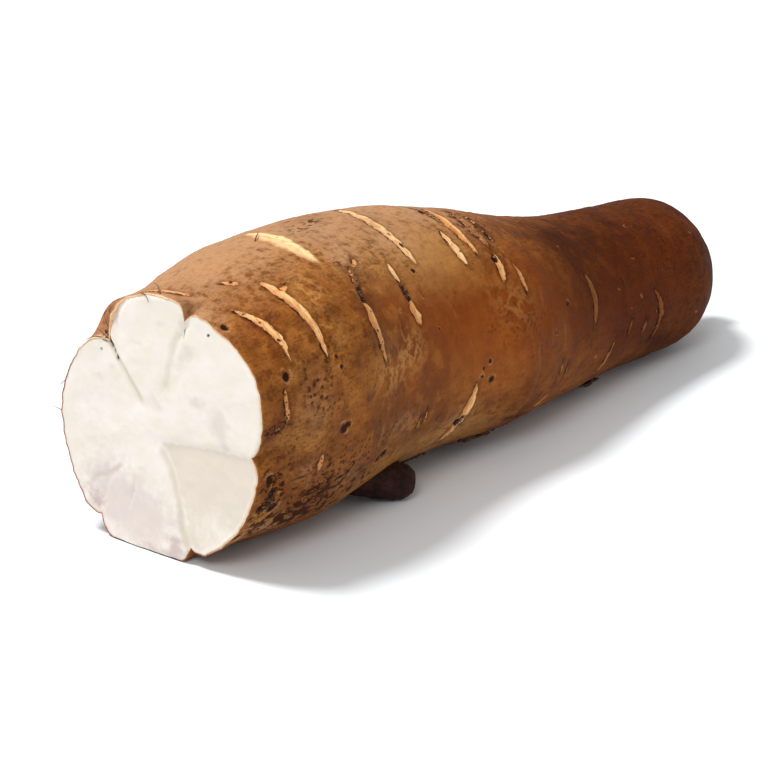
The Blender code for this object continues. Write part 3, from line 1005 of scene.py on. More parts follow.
def pitted_colour(n, skin, blots, rough_edge):
    """The skin with its dark pits, some of them in a pale ring."""
    dark = n.painted("dark")
    ring = n.times(n.ramp(dark, 0.05, 0.16), n.ramp(dark, 0.42, 0.26))
    skin = n.mix(n.times(ring, n.ramp(blots, 0.50, 0.62, 0.0, 0.4)), skin, PIT_RING)
    pitted = n.plus(dark, n.times(rough_edge, 1.3))
    pitted = n.times(n.ramp(pitted, 0.34, 0.66), n.ramp(dark, 0.05, 0.2))
    return n.mix(pitted, skin, PIT_DARK)


def peel_colour(n, blots):
    """The peel where the knife went through it: pale, tan in spots and dried dark on the far side."""
    peel = n.mix(n.ramp(n.painted("cortex"), 0.6, 0.98), PEEL_TAN, PEEL_PALE)
    peel = n.mix(n.painted("bruise"), peel, PEEL_BRUISED)
    return n.mix(n.ramp(blots, 0.45, 0.6, 0.0, 0.5), peel, PEEL_SPOT)


def bark_material():
    """Dry brown bark: clouds and patches of brown, then stains and a painted sheen, grain, soil, scars,
    darkening with a painted shadow over the tail, and pits over them.
    """
    n = Nodes("bark")
    where = n.millimetres()
    patches = n.cloud(where, 6.0, 5.0, 0.62)
    blots = n.cloud(where, 2.6, 4.0, 0.6)
    grain = n.cloud(where, 0.9, 4.0, 0.65)
    fibres = n.cloud(where, 0.6, 4.0, 0.6, ALONG)
    rough_edge = n.minus(blots, 0.5)

    skin = n.mix(n.ramp(n.cloud(where, 20.0, 3.0), 0.38, 0.62), BARK_DARK, BARK_LIGHT)
    skin = n.mix(n.ramp(patches, 0.48, 0.66, 0.0, 0.6), skin, PATCH_LIGHT)
    skin = n.mix(n.ramp(patches, 0.48, 0.30, 0.0, 0.65), skin, PATCH_DARK)
    skin, pale = stains_and_sheen_colour(n, skin, patches, rough_edge)
    skin = grained_colour(n, where, skin, pale, blots, grain, fibres)
    skin, soiled = soiled_colour(n, where, skin, rough_edge)
    skin, inside = scar_colour(n, where, skin)
    # Darker towards the tail, partly a painted shadow of another root across it.
    dark_and_painted_shadow = n.painted("dark_and_painted_shadow")
    skin = n.mix(n.times(dark_and_painted_shadow, 0.9), skin, DARKER_AND_SHADOW_TINT, "MULTIPLY")
    skin = pitted_colour(n, skin, blots, rough_edge)
    skin = n.mix(n.painted("cortex"), skin, peel_colour(n, blots))
    n.link(skin, n.shader.inputs["Base Color"])

    matt = n.plus(n.ramp(patches, 0.3, 0.7, 0.48, 0.66), n.times(dark_and_painted_shadow, 0.15))
    n.link(n.plus(matt, n.times(soiled, 0.2), True), n.shader.inputs["Roughness"])
    n.shader.inputs["Specular IOR Level"].default_value = BARK_SHINE
    n.shader.inputs["Specular Tint"].default_value = BARK_SHINE_TINT
    normal = n.bump(fibres, 0.4, 0.2)
    normal = n.bump(grain, 0.45, 0.22, normal)
    normal = n.bump(blots, 0.35, 0.4, normal)
    normal = n.bump(n.ramp(soiled, 0.0, 1.0), 0.5, 0.3, normal)
    normal = n.bump(n.ramp(inside, -0.3, 0.25), 0.5, 0.3, normal)
    n.link(normal, n.shader.inputs["Normal"])
    return n.material


def flesh_material():
    """Moist white flesh, faintly stained and with some painted shade, that light goes a little way into."""
    n = Nodes("flesh")
    where = n.millimetres()
    clouds = n.cloud(where, 8.0, 3.0)
    grain = n.cloud(where, 0.7, 3.0, 0.6)
    ray = n.painted("ray")
    ragged = n.times(n.minus(n.cloud(where, 2.6, 5.0, 0.65), 0.5), 1.3)

    def stained(flesh, name, share, tint):
        """The flesh with one patch from paint(), ragged at its edge: a stain, or a tone that is partly
        painted shade.
        """
        held = n.painted(name)
        edge = n.plus(held, n.times(ragged, n.ramp(held, 0.02, 0.3)))
        return n.mix(n.ramp(edge, 0.1, 0.9, 0.0, share), flesh, tint)

    flesh = n.mix(n.ramp(clouds, 0.35, 0.65), FLESH_WHITE, FLESH_CREAM)
    flesh = n.mix(n.ramp(ray, 0.3, 0.8, 0.0, 0.06), flesh, FLESH_RAY)
    flesh = stained(flesh, "lilac", 0.9, FLESH_LILAC)
    # The sunk sector: greyer flesh, partly painted shade.
    flesh = stained(flesh, "sector_tone_and_shade", 0.8, FLESH_SECTOR_TONE_AND_SHADE)
    flesh = stained(flesh, "murk", 0.9, FLESH_MURK)
    # Mauve grey, partly painted shade where the top lobe's edge turns away.
    flesh = stained(flesh, "bruise", 0.8, FLESH_MAUVE_AND_SHADE)
    # Grey along the folds, partly painted shade in the creases.
    flesh = n.mix(n.ramp(n.painted("fold"), 0.05, 1.0, 0.0, 0.65), flesh, FLESH_FOLD_TONE_AND_SHADE)
    flesh = stained(flesh, "tan", 0.9, FLESH_TAN)
    flesh = stained(flesh, "soil", 1.0, FLESH_SOIL)
    flesh = n.mix(n.ramp(n.painted("edge"), 0.3, 1.0, 0.0, 0.5), flesh, FLESH_EDGE)
    n.link(flesh, n.shader.inputs["Base Color"])
    n.link(n.ramp(clouds, 0.3, 0.7, 0.42, 0.6), n.shader.inputs["Roughness"])
    n.shader.inputs["Specular IOR Level"].default_value = FLESH_SHINE
    n.shader.inputs["Subsurface Weight"].default_value = FLESH_GLOW
    n.shader.inputs["Subsurface Radius"].default_value = FLESH_GLOW_REACH
    n.shader.inputs["Subsurface Scale"].default_value = FLESH_GLOW_DEPTH
    normal = n.bump(grain, 0.3, 0.1)
    normal = n.bump(ray, 0.15, 0.1, normal)
    n.link(n.bump(clouds, 0.4, 0.5, normal), n.shader.inputs["Normal"])
    return n.material


def stump_material():
    """Dark wrinkled bark with a lighter cut face."""
    n = Nodes("stump_bark")
    where = n.millimetres()
    patches = n.cloud(where, 3.0, 4.0, 0.6)
    fibres = n.cloud(where, 0.5, 3.0, 0.6, ALONG_STUMP)
    skin = n.mix(n.ramp(patches, 0.35, 0.65), STUMP_DARK, STUMP_LIGHT)
    skin = n.mix(n.ramp(fibres, 0.5, 0.35, 0.0, 0.5), skin, STUMP_FIBRE)
    face = n.mix(n.ramp(patches, 0.4, 0.6), STUMP_CUT_DARK, STUMP_CUT_LIGHT)
    skin = n.mix(n.painted("cut"), skin, face)
    n.link(skin, n.shader.inputs["Base Color"])
    n.shader.inputs["Roughness"].default_value = 0.65
    n.shader.inputs["Specular IOR Level"].default_value = STUMP_SHINE
    n.link(n.bump(fibres, 0.5, 0.25, n.bump(patches, 0.5, 0.5)), n.shader.inputs["Normal"])
    return n.material


def mottled_material(name, dark, light, size):
    """Two tints in spots of about size millimetres, for the rootlets and the soil."""
    n = Nodes(name)
    mottle = n.cloud(n.millimetres(), size, 3.0)
    n.link(n.mix(n.ramp(mottle, 0.4, 0.6), dark, light), n.shader.inputs["Base Color"])
    n.shader.inputs["Roughness"].default_value = 0.8
    return n.material


# ---------------------------------------------------------------- the bark

BARK_COLUMNS = 304
BARK_RINGS = 296
BARK_START = 0.12

# Relief of the skin in millimetres: lumps, wrinkles round the root, ridges along it, the healed skin of a
# scar and the split beside it.
LUMP_HEIGHT = 0.3
WRINKLE_HEIGHT = 0.14
RIDGE_HEIGHT = 0.1
SCAR_HEIGHT = 0.16
SPLIT_DEPTH = 0.28

# The cut edge of the peel, from inside the root outwards: distance behind the cut, and distance inside
# the skin. TAIL_FACE closes the snapped tail: share of its radius, and how far it stands out.
PEEL = ((3.2, 1.0), (0.5, 0.46), (0.14, 0.38), (0.0, 0.24), (0.03, 0.08))
TAIL_FACE = ((0.93, 0.15), (0.7, -0.3), (0.4, -0.15), (0.12, -0.25))


def spaced(density, start, end, count, samples=6000):
    """count + 1 places from start to end, closer together where the density is higher."""
    fine = np.linspace(start, end, samples)
    run = np.concatenate([[0.0], np.cumsum((density(fine[1:]) + density(fine[:-1])) / 2.0)])
    return np.interp(np.linspace(0.0, run[-1], count + 1), run, fine)


def column_angles(count):
    """Angles round the root, closer together at the furrows, with one in the bottom of each."""

    def density(angle):
        return 1.0 + sum(1.6 * bell(angle, f.angle, 3.0) for f in FURROWS)

    angles = spaced(density, 0.0, 360.0, count)[:-1]
    for f in FURROWS:
        angles[np.argmin(turn_between(angles, f.angle))] = f.angle
    return angles


def ring_distances(count):
    """Distances from the cut, evenly spaced over the skin itself, and closer together at the cut."""

    def density(along):
        step = 0.01
        climb = (stations_at(np.clip(along + step, 0, ROOT_LENGTH))[0] - stations_at(along)[0]) / step
        return np.hypot(1.0, np.clip(climb, -6.0, 6.0)) * (1.0 + 1.2 * np.exp(-along / 4.0))

    return spaced(density, BARK_START, ROOT_LENGTH, count)


def build_bark():
    """The bark: the peel's cut edge, the skin with its relief, and the snapped tail, in one closed skin."""
    rng = random.Random(11)
    angles = column_angles(BARK_COLUMNS)
    alongs = ring_distances(BARK_RINGS)
    along, angle = np.meshgrid(alongs, angles, indexing="ij")
    reach = reach_of_skin(along, angle)
    smooth = place(along, angle, reach)

    lumps = rough(smooth, 16.0, 2, 3.0)
    wrinkles = rough(smooth, np.array([2.6, 14.0, 14.0]), 3, 7.0)
    ridges = rough(smooth, np.array([11.0, 3.0, 3.0]), 3, 21.0)
    wobble = rough(smooth, np.array([2.0, 2.2, 2.2]), 2, 5.0)
    scars = list(SCARS) + spread_scars(rng)
    inside, side, tone = scar_fields(along, angle, scars, wobble)
    pits, dark = pit_fields(along, angle, list(PITS) + spread_pits(rng))

    away = smooth_step(along / 6.0)
    height = away * (LUMP_HEIGHT * lumps + WRINKLE_HEIGHT * wrinkles + RIDGE_HEIGHT * ridges)
    height += nibbled(angles)[None, :] * np.exp(-along / 1.2)
    height += pits
    height += SCAR_HEIGHT * smooth_step((inside + 0.1) / 0.5)
    height -= SPLIT_DEPTH * np.exp(-(((inside + 0.25) / 0.45) ** 2)) * np.where(side < 0, 1.0, 0.3)
    skin = smooth + grid_normals(smooth) * height[..., None]

    rim = reach[0] + nibbled(angles)
    mouth = [place(np.full_like(angles, back), angles, rim - inset) for back, inset in PEEL]
    closing = []
    for share, out in TAIL_FACE:
        points = place(np.full_like(angles, ROOT_LENGTH), angles, reach[-1] * share)
        points[:, 0] += 0.7 * rough(points, np.array([1.0, 0.9, 0.9]), 2, 2.0) + out
        closing.append(points)
    rings = np.concatenate([np.array(mouth), skin, np.array(closing)])
    mesh = mesh_of_skins([in_frame(rings)], "root_bark")

    def full(values, before=0.0, after=0.0):
        """A field of the skin with values for the rings before and after it."""
        head = np.broadcast_to(before, (len(mouth), BARK_COLUMNS))
        tail = np.broadcast_to(after, (len(closing), BARK_COLUMNS))
        return np.concatenate([head, values, tail])

    painted = {
        "scar": full(np.clip(inside, -3.0, 2.0), -3.0, -3.0),
        "scar_side": full(np.clip(side, -3.0, 3.0)),
        "scar_tone": full(tone, SCARLESS_TONE, SCARLESS_TONE),
        "dark": full(np.clip(dark, 0.0, 1.0)),
        "cortex": full(np.exp(-along / (0.2 + 4.0 * bared_side(angle))), 1.0, 0.8),
        "bruise": full(np.broadcast_to(bruised_side(angles), along.shape), bruised_side(angles), 0.6),
    }
    for name, stains in STAINS.items():
        painted[name] = full(stain_field(along, angle, stains))
    for name, values in painted.items():
        paint(mesh, name, values)
    return piece("root_bark", mesh, bark_material())


def nibbled(angle):
    """How far the knife has left the rim of the cut from its smooth outline, in millimetres."""
    turn = np.radians(angle)
    points = np.stack([np.sin(turn), np.cos(turn), 0.0 * turn], axis=-1) * STATIONS[0].radius
    return 0.45 * rough(points, 2.8, 3, 12.0)


def bared_side(angle):
    """Where the bark is rubbed off the rim: beside the deepest furrow, and on top."""
    return bell(angle, 316.0, 12.0) + 0.5 * bell(angle, 2.0, 8.0)


def bruised_side(angle):
    """Where the cut edge of the peel has dried dark: the far side and the underside."""
    return smooth_step((88.0 - turn_between(angle, 218.0)) / 26.0)


# ---------------------------------------------------------------- the cut face

FLESH_COLUMNS = 400
FLESH_RINGS = 84
FLESH_INSET = 0.34
FLESH_BACK = 2.8
FLESH_STANDS_OUT = 0.6

# Where the edge of the flesh is most rounded: a direction round the root and half its width, in degrees.
ROUNDED_SIDE = (332.0, 9.0)

# Relief of the cut face in millimetres: its lumps and grain, how far its edge drops, and how much further
# on the rounded side.
FACE_LUMPS = 0.35
FACE_GRAIN = 0.1
EDGE_DROP = 0.12
ROUNDED_DROP = 0.9

# A fold where two lobes of flesh meet: its line, as angles and distances from the pith, from the rim
# inwards, the depth at both ends, its width, how much higher its right side stands, and how strongly it is
# coloured: a grey tone, partly painted shade in the crease.
Fold = namedtuple("Fold", "line depth width step colour")
FOLDS = (
    Fold(((319, 31), (319.5, 26.3), (318, 20.2), (316.3, 12.7), (312, 5.4)), (1.3, 0.25), 1.0, -0.6, 0.95),
    Fold(((20, 32), (17, 23), (20, 9)), (0.6, 0.1), 1.2, 0.2, 0.5),
    Fold(((91, 33), (94, 20), (174, 4)), (0.0, 0.0), 0.7, 0.35, 0.1),
    Fold(((162, 35), (163, 29), (160, 22), (159, 12), (176, 5.6)), (0.5, 0.15), 0.9, -0.45, 0.8),
    Fold(((217, 38), (222, 27), (220, 15.5)), (0.3, 0.05), 1.0, 0.4, 0.2),
    Fold(((228, 33), (226, 26), (221, 20)), (0.3, 0.1), 0.6, -0.3, 0.4),
    Fold(((203, 26), (205, 21), (210, 17)), (0.25, 0.05), 0.6, 0.2, 0.35),
)

# Stains of the cut face, under the names that its material reads them by: right of the pith, above it,
# half width, half height and strength. One of them is partly painted shade.
Blot = namedtuple("Blot", "right up half_width half_height strength")
BLOTS = {
    "murk": (
        Blot(11.8, 22.0, 3.4, 2.6, 0.8),
        Blot(8.8, 18.5, 1.8, 2.2, 0.6),
        Blot(14.5, 9.4, 3.6, 2.2, 0.8),
        Blot(22.0, 5.0, 3.6, 4.0, 0.95),
        Blot(24.0, -0.5, 1.6, 2.6, 0.7),
        Blot(-0.4, 5.6, 3.4, 2.4, 0.6),
        Blot(-21.0, 8.2, 3.4, 1.8, 0.4),
        Blot(-16.0, 12.5, 1.8, 1.6, 0.4),
        Blot(2.0, 28.0, 5.0, 1.2, 0.35),
        Blot(-6.0, 21.0, 3.0, 1.0, 0.35),
    ),
    "lilac": (
        Blot(-24.0, 2.0, 9.0, 18.0, 0.25),
        Blot(-8.0, -27.0, 15.0, 11.0, 0.9),
        Blot(-20.0, -20.0, 9.0, 8.0, 0.5),
        Blot(14.0, -28.0, 9.0, 8.0, 0.2),
    ),
    # Mauve grey, low on the face and at the rim left of the top lobe, where it is partly painted shade of the
    # lobe's turning edge.
    "bruise": (
        Blot(6.0, -33.0, 3.6, 4.0, 0.8),
        Blot(-23.0, -27.0, 4.0, 3.4, 0.7),
        Blot(-14.8, 26.0, 2.2, 5.0, 0.7),
        Blot(-2.0, -36.0, 8.0, 1.6, 0.5),
    ),
    "tan": (
        Blot(35.4, -4.4, 1.5, 3.0, 0.8),
        Blot(-18.0, 24.0, 1.8, 2.4, 0.8),
        Blot(-16.0, 18.9, 0.9, 1.2, 0.7),
    ),
    "soil": (
        Blot(-16.9, 19.8, 1.2, 0.8, 1.0),
        Blot(-15.7, 18.4, 0.7, 1.0, 1.0),
        Blot(-14.9, 16.9, 0.4, 0.9, 0.8),
        Blot(-13.9, 15.3, 0.65, 1.0, 1.0),
        Blot(-18.4, 19.6, 1.0, 0.9, 1.0),
        Blot(10.4, 27.0, 0.45, 1.4, 0.9),
        Blot(19.0, 28.5, 0.5, 0.5, 0.9),
        Blot(-19.5, 16.4, 0.5, 0.5, 0.8),
    ),
}

# The folds that bound the sunk sector of the face, by their places in FOLDS, how deep it is sunk, and where
# its colour is weaker. That colour is a greyer tone, partly painted shade of the sunk sector.
SECTOR_TOP, SECTOR_LEFT = 2, 3
SECTOR_DEPTH = 0.3
SECTOR_PALE_SPOT = Blot(20.0, -28.0, 12.0, 9.0, 0.6)


def blot_field(right, up, blots):
    """How strongly each point of the cut face is stained, from 0 to 1."""
    field = np.zeros(right.shape)
    for b in blots:
        gap = np.hypot((right - b.right) / b.half_width, (up - b.up) / b.half_height)
        field += b.strength * np.exp(-(gap**2))
    return np.clip(field, 0.0, 1.0)


def fold_fields(points, right, up):
    """How far the folds raise each point of the face, how strongly they colour it grey, partly as painted
    shade in the creases, and the signed distance to each fold."""
    wave = 0.5 * rough(points, 3.0, 2, 30.0)
    relief, tint = np.zeros(right.shape), np.zeros(right.shape)
    gaps = []
    for f in FOLDS:
        line = np.array(f.line, dtype=float)
        line_right = line[:, 1] * np.sin(np.radians(line[:, 0]))
        line_up = line[:, 1] * np.cos(np.radians(line[:, 0]))
        marks = np.linspace(0.0, 1.0, len(line))
        gap, at = distance_to_line(right + wave, up - wave, line_right, line_up, marks)
        ends = smooth_step((1.0 - at) / 0.12 + 0.15)
        depth = f.depth[0] + (f.depth[1] - f.depth[0]) * at
        relief -= depth * np.exp(-((gap / f.width) ** 2)) * ends
        relief += 0.5 * f.step * np.tanh(gap / 0.9) * np.exp(-np.abs(gap) / 16.0) * ends
        tint = np.maximum(tint, f.colour * np.exp(-((gap / (1.4 * f.width)) ** 2)) * ends)
        gaps.append(gap)
    return relief, tint, gaps


def build_flesh():
    """The cut face: rings from the pith to the rim, folded and rounded, closed by a plain back."""
    angles = column_angles(FLESH_COLUMNS)
    outline = reach_of_skin(np.full_like(angles, BARK_START), angles) + nibbled(angles) - FLESH_INSET
    shares = np.linspace(0.01, 1.0, FLESH_RINGS)[:, None] ** 0.93
    reach = shares * outline[None, :]
    angle = np.broadcast_to(angles, reach.shape)
    right, up = reach * np.sin(np.radians(angle)), reach * np.cos(np.radians(angle))
    points = place(np.zeros_like(reach), angle, reach)
    edge = outline[None, :] - reach

    relief, fold, gaps = fold_fields(points, right, up)
    sunk = smooth_step(-gaps[SECTOR_TOP] / 2.0) * smooth_step(gaps[SECTOR_LEFT] / 2.4)
    out = FACE_LUMPS * rough(points, 15.0, 2, 1.0) + FACE_GRAIN * rough(points, 4.0, 2, 9.0) + relief
    out -= SECTOR_DEPTH * sunk * smooth_step(reach / 8.0)
    rounded = bell(angle, *ROUNDED_SIDE)
    near_edge = 1.0 - smooth_step(edge / (0.8 + 3.4 * rounded))
    out = out * smooth_step(edge / 1.2) - near_edge * (EDGE_DROP + ROUNDED_DROP * rounded)
    points[..., 0] -= np.minimum(out, FLESH_STANDS_OUT)
    back = place(np.full_like(angles, FLESH_BACK), angles, outline - 0.6)
    rings = np.concatenate([points, back[None]])
    rings[..., 2] = np.maximum(rings[..., 2], PRESSED_DEPTH + FLESH_INSET)
    mesh = mesh_of_skins([in_frame(rings)], "root_flesh")

    ray_points = np.stack([angle * 0.9, reach * 0.04, 0.0 * reach], axis=-1)
    painted = {
        "fold": fold,
        # The sunk sector's greyer tone, partly painted shade.
        "sector_tone_and_shade": sunk * (0.95 - blot_field(right, up, (SECTOR_PALE_SPOT,))),
        "edge": np.exp(-edge / 0.35),
        "ray": 0.5 + 0.5 * rough(ray_points, 1.6, 2, 4.0),
    }
    for name, blots in BLOTS.items():
        painted[name] = blot_field(right, up, blots)
    for name, values in painted.items():
        paint(mesh, name, np.concatenate([values, values[-1:]]))
    return piece("root_flesh", mesh, flesh_material())


# ---------------------------------------------------------------- stump, rootlets and soil

# The stump's axis starts inside the root. Its radii are given by the share of its length, and its cut face
# by the share of its last radius and how far it stands out.
STUMP_BASE = (55.0, -12.0, 9.6)
STUMP_END = (73.0, -25.6, 5.5)
STUMP_RADII = (
    (0.0, 4.6),
    (0.35, 5.3),
    (0.55, 5.6),
    (0.80, 5.4),
    (0.84, 5.05),
    (0.88, 5.2),
    (0.94, 4.7),
    (0.98, 4.0),
    (1.0, 3.4),
)
STUMP_FACE = ((0.97, 0.22), (0.86, 0.34), (0.6, 0.25), (0.45, 0.4), (0.2, 0.3))
STUMP_SIDES = 56
STUMP_RINGS = 40
STUMP_WRINKLES = 0.22
STUMP_GRAIN = 0.14
STUMP_FACE_GRAIN = 0.12


def build_stump():
    """The stump of a side root: wrinkled, narrower towards its cut end."""
    base, end = Vector(STUMP_BASE), Vector(STUMP_END)
    turn = (end - base).to_track_quat("Z", "Y")
    turns = np.linspace(0.0, 2.0 * math.pi, STUMP_SIDES, endpoint=False)
    radii = np.array(STUMP_RADII)
    rings, cut = [], []

    def ring(share, radius, out=0.0):
        """A circle square to the stump's axis, at a share of its length or past its end."""
        centre = np.array(base.lerp(end, share)) + np.array((end - base).normalized()) * out
        flat = [turn @ Vector((math.cos(a), math.sin(a), 0.0)) for a in turns]
        return centre + radius * np.array(flat)

    for share in np.linspace(0.0, 1.0, STUMP_RINGS):
        radius = np.interp(share, radii[:, 0], radii[:, 1])
        points = ring(share, radius)
        bumps = STUMP_WRINKLES * rough(points, np.array([5.0, 5.0, 2.0]), 3, 1.0)
        bumps += STUMP_GRAIN * rough(points, 1.6, 2, 8.0)
        rings.append(points + (points - ring(share, 0.0)) / radius * bumps[:, None])
        cut.append(0.0)
    for share_in, out in STUMP_FACE:
        points = ring(1.0, STUMP_RADII[-1][1] * share_in, out)
        rings.append(points + STUMP_FACE_GRAIN * rough(points, 0.9, 2, 3.0)[:, None])
        cut.append(0.0 if share_in > 0.95 else 1.0)
    mesh = mesh_of_skins([in_frame(np.array(rings))], "root_stump")
    paint(mesh, "cut", np.repeat(np.array(cut)[:, None], STUMP_SIDES, axis=1))
    return piece("root_stump", mesh, stump_material())


# A rootlet starts on the skin or on the cut face's rim. It leaves in a direction given as a lean along
# the root and a lean round it, both against straight out, and is so long and so thick.
Rootlet = namedtuple("Rootlet", "along angle lean_along lean_round length radius")
ROOTLETS = (
    Rootlet(0.6, 316.0, -0.9, -0.6, 6.5, 0.16),
    Rootlet(0.8, 318.0, -0.5, 0.2, 4.5, 0.13),
    Rootlet(1.2, 322.0, -0.7, 0.7, 4.0, 0.12),
    Rootlet(0.4, 352.0, -0.6, 0.9, 5.0, 0.16),
    Rootlet(0.8, 3.0, 0.3, -0.9, 5.5, 0.14),
    Rootlet(0.3, 262.0, -0.2, 0.5, 3.0, 0.12),
    Rootlet(0.3, 277.0, -0.3, -0.5, 3.6, 0.12),
    Rootlet(0.4, 122.0, -0.8, -0.5, 3.6, 0.13),
    Rootlet(0.4, 85.0, -1.4, 0.9, 3.0, 0.15),
    Rootlet(0.5, 82.0, 1.9, 0.4, 4.5, 0.14),
    Rootlet(36.8, 0.8, 2.2, -1.3, 7.5, 0.22),
    Rootlet(60.0, 156.0, 0.8, -0.9, 5.0, 0.16),
    Rootlet(113.0, 148.0, 0.9, -0.9, 3.6, 0.13),
)
SCATTERED_ROOTLETS = 16
ROOTLET_STEPS = 10
ROOTLET_SIDES = 6
ROOTLET_TIP = 0.45


def skin_place(along, angle, out=0.0):
    """One point of the skin, or the given distance outside it."""
    along, angle = np.array([along]), np.array([angle])
    return place(along, angle, reach_of_skin(along, angle) + out)[0]


def rootlet_points(rootlet, rng):
    """A line that leaves the skin and bends back towards it, as dry hair roots do."""
    start = skin_place(rootlet.along, rootlet.angle, -0.4)
    out = skin_place(rootlet.along, rootlet.angle, 1.0) - skin_place(rootlet.along, rootlet.angle)
    round_way = skin_place(rootlet.along, rootlet.angle + 1.0) - skin_place(rootlet.along, rootlet.angle)
    round_way /= np.linalg.norm(round_way)
    heading = out + rootlet.lean_along * np.array([1.0, 0.0, 0.0]) + rootlet.lean_round * round_way
    heading /= np.linalg.norm(heading)
    points = [start]
    bend = np.array([rng.uniform(-1, 1) for _ in range(3)])
    for _ in range(ROOTLET_STEPS):
        heading = heading + 0.16 * bend - 0.05 * out
        heading /= np.linalg.norm(heading)
        bend = 0.75 * bend + 0.6 * np.array([rng.uniform(-1, 1) for _ in range(3)])
        points.append(points[-1] + heading * rootlet.length / ROOTLET_STEPS)
    return np.array(points)


def build_rootlets():
    """Dry rootlets, kept inside the size of the solid."""
    rng = random.Random(5)
    rootlets = list(ROOTLETS)
    for _ in range(SCATTERED_ROOTLETS):
        rootlets.append(
            Rootlet(
                rng.uniform(8.0, 235.0),
                rng.uniform(120.0, 335.0),
                rng.uniform(-1.5, 1.5),
                rng.uniform(-1.5, 1.5),
                rng.uniform(1.5, 4.0),
                rng.uniform(0.07, 0.12),
            )
        )
    low = np.array(root_low) / MM + 0.02
    high = np.array(root_high) / MM + np.array([0.4, 0.9, 0.9])
    tubes = []
    for rootlet in rootlets:
        points = rootlet_points(rootlet, rng) + SHIFT
        points = np.clip(points, low + np.array([-1.0, -0.9, rootlet.radius]), high)
        radii = np.linspace(1.0, ROOTLET_TIP, len(points)) * rootlet.radius * MM
        tubes.append(tube_rings(points * MM, radii, ROOTLET_SIDES))
    material = mottled_material("rootlet", *ROOTLET_TINTS, 1.5)
    return piece("root_hairs", mesh_of_skins(tubes, "root_hairs"), material)


# Clumps of dry soil and bark flakes: place, spread along and round in millimetres, number and size of the
# bits, and how far from the skin they may hang.
Clump = namedtuple("Clump", "along angle half_along half_round count size out", defaults=(0.0,))
CLUMPS = (
    Clump(1.4, 318.0, 1.2, 1.6, 26, 0.5),
    Clump(110.5, 147.0, 6.0, 1.2, 38, 1.3, 0.6),
    Clump(170.5, 148.0, 4.4, 1.2, 34, 1.4, 0.9),
    Clump(84.0, 147.0, 6.0, 1.0, 22, 0.8, 0.4),
    Clump(122.0, 143.0, 6.0, 1.2, 16, 0.7),
    Clump(89.6, 120.6, 1.4, 1.0, 9, 0.5),
    Clump(6.0, 118.0, 3.0, 4.5, 24, 0.5),
    Clump(28.0, 138.0, 12.0, 3.0, 34, 0.5),
    Clump(47.6, 46.5, 1.6, 2.6, 14, 0.4),
    Clump(67.6, 53.0, 0.8, 2.2, 9, 0.4),
    Clump(79.6, 30.0, 0.5, 4.0, 6, 0.35),
    Clump(113.0, 43.0, 1.2, 2.5, 9, 0.4),
    Clump(89.8, 120.0, 0.9, 1.0, 7, 0.5),
    Clump(2.2, 357.0, 0.8, 3.2, 8, 0.4),
    Clump(15.6, 18.0, 0.4, 0.6, 4, 0.4),
    Clump(60.0, 215.0, 40.0, 20.0, 30, 0.45),
    Clump(150.0, 250.0, 50.0, 20.0, 26, 0.4),
)


def build_soil():
    """Flat bits of dry soil and bark, no two alike."""
    rng = random.Random(8)
    bm = bmesh.new()
    for clump in CLUMPS:
        radius = radius_at(clump.along)
        for _ in range(clump.count):
            along = max(clump.along + clump.half_along * rng.gauss(0.0, 0.5), 0.5)
            angle = clump.angle + math.degrees(clump.half_round * rng.gauss(0.0, 0.5) / radius)
            size = clump.size * rng.uniform(0.35, 1.0)
            made = bmesh.ops.create_icosphere(bm, subdivisions=1, radius=size * MM)["verts"]
            centre = skin_place(along, angle, clump.out * rng.random() + 0.05 * size) + SHIFT
            centre[2] = max(centre[2], GROUND + 0.5 * size)
            out = Vector(skin_place(along, angle, 1.0) - skin_place(along, angle))
            turn = out.to_track_quat("Z", "Y").to_matrix().to_4x4()
            spin = Matrix.Rotation(rng.uniform(0.0, 2.0 * math.pi), 4, "Z")
            flat = Matrix.Diagonal((rng.uniform(0.8, 1.7), rng.uniform(0.6, 1.0), rng.uniform(0.3, 0.6), 1.0))
            for vertex in made:
                vertex.co *= rng.uniform(0.75, 1.15)
            shape = Matrix.Translation(Vector(centre) * MM) @ turn @ spin @ flat
            bmesh.ops.transform(bm, matrix=shape, verts=made)
    material = mottled_material("soil", *SOIL_TINTS, 1.0)
    return piece("root_soil", mesh_from(bm, "root_soil"), material)


# ---------------------------------------------------------------- stage, light and camera

VIEW_AZIMUTH, VIEW_ELEVATION = -50.0, 20.0
VIEW_DISTANCE = 0.837
VIEW_AIM = Vector((-0.0197, 0.0113, 0.0156))
VIEW_LENS = 134.8
FLOOR_RADIUS = 6.0
FLOOR_LEVEL = -0.0001
FLOOR_TINT = colour(237, 240, 242)
ROOM_LIGHT = 0.55


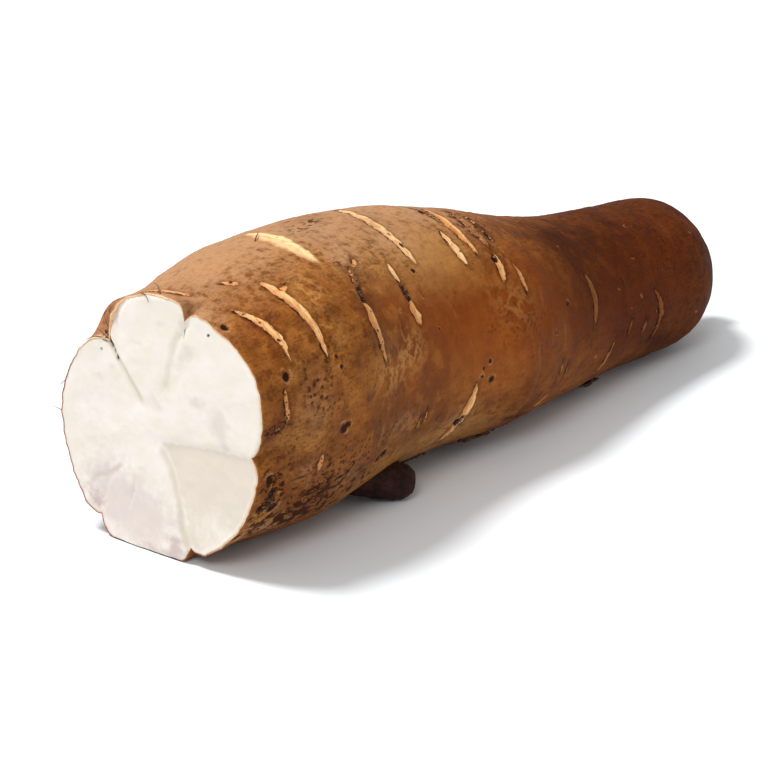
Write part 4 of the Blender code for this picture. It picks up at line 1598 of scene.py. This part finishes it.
def build_floor():
    """A wide pale disc, a hair below the root so that the two don't touch."""
    bm = bmesh.new()
    disc = bmesh.ops.create_circle(bm, cap_ends=True, segments=96, radius=FLOOR_RADIUS)["verts"]
    bmesh.ops.translate(bm, verts=disc, vec=(0.0, 0.0, FLOOR_LEVEL))
    mesh = bpy.data.meshes.new("floor")
    bm.to_mesh(mesh)
    bm.free()
    floor = put_in_scene("floor", mesh)
    n = Nodes("pale_floor")
    n.shader.inputs["Base Color"].default_value = (*FLOOR_TINT, 1.0)
    n.shader.inputs["Roughness"].default_value = 0.8
    mesh.materials.append(n.material)


def direction(azimuth, elevation):
    """The way from the object towards a place round it, counted as the camera's angles are."""
    a, e = math.radians(azimuth), math.radians(elevation)
    return Vector((math.sin(a) * math.cos(e), -math.cos(a) * math.cos(e), math.sin(e)))


def soft_light(name, azimuth, elevation, distance, size, power):
    """A round lamp, size metres across, that faces the root."""
    data = bpy.data.lights.new(name, "AREA")
    data.shape = "DISK"
    data.size = size
    data.energy = power
    lamp = put_in_scene(name, data)
    towards = direction(azimuth, elevation)
    lamp.location = towards * distance
    lamp.rotation_mode = "QUATERNION"
    lamp.rotation_quaternion = towards.to_track_quat("Z", "Y")


def build_camera():
    """The camera, which sees the cut face and the side that faces -Y."""
    data = bpy.data.cameras.new("view")
    data.lens = VIEW_LENS
    data.clip_start, data.clip_end = 0.01, 20.0
    camera = put_in_scene("view", data)
    back = direction(VIEW_AZIMUTH, VIEW_ELEVATION)
    camera.location = VIEW_AIM + back * VIEW_DISTANCE
    camera.rotation_mode = "QUATERNION"
    camera.rotation_quaternion = (-back).to_track_quat("-Z", "Y")
    bpy.context.scene.camera = camera


def build_stage():
    """The floor, a white room, a strong lamp high on the camera's left and a weaker one above the camera."""
    build_floor()
    world = bpy.data.worlds.new("studio")
    world.use_nodes = True
    background = world.node_tree.nodes["Background"]
    background.inputs["Color"].default_value = (1.0, 1.0, 1.0, 1.0)
    background.inputs["Strength"].default_value = ROOM_LIGHT
    bpy.context.scene.world = world
    soft_light("key", azimuth=-140.0, elevation=67.0, distance=3.0, size=0.75, power=75.0)
    soft_light("fill", azimuth=-62.0, elevation=40.0, distance=3.0, size=1.0, power=24.0)
    bpy.context.scene.view_settings.view_transform = "Standard"


build_bark()
build_flesh()
build_stump()
build_rootlets()
build_soil()
build_stage()
build_camera()
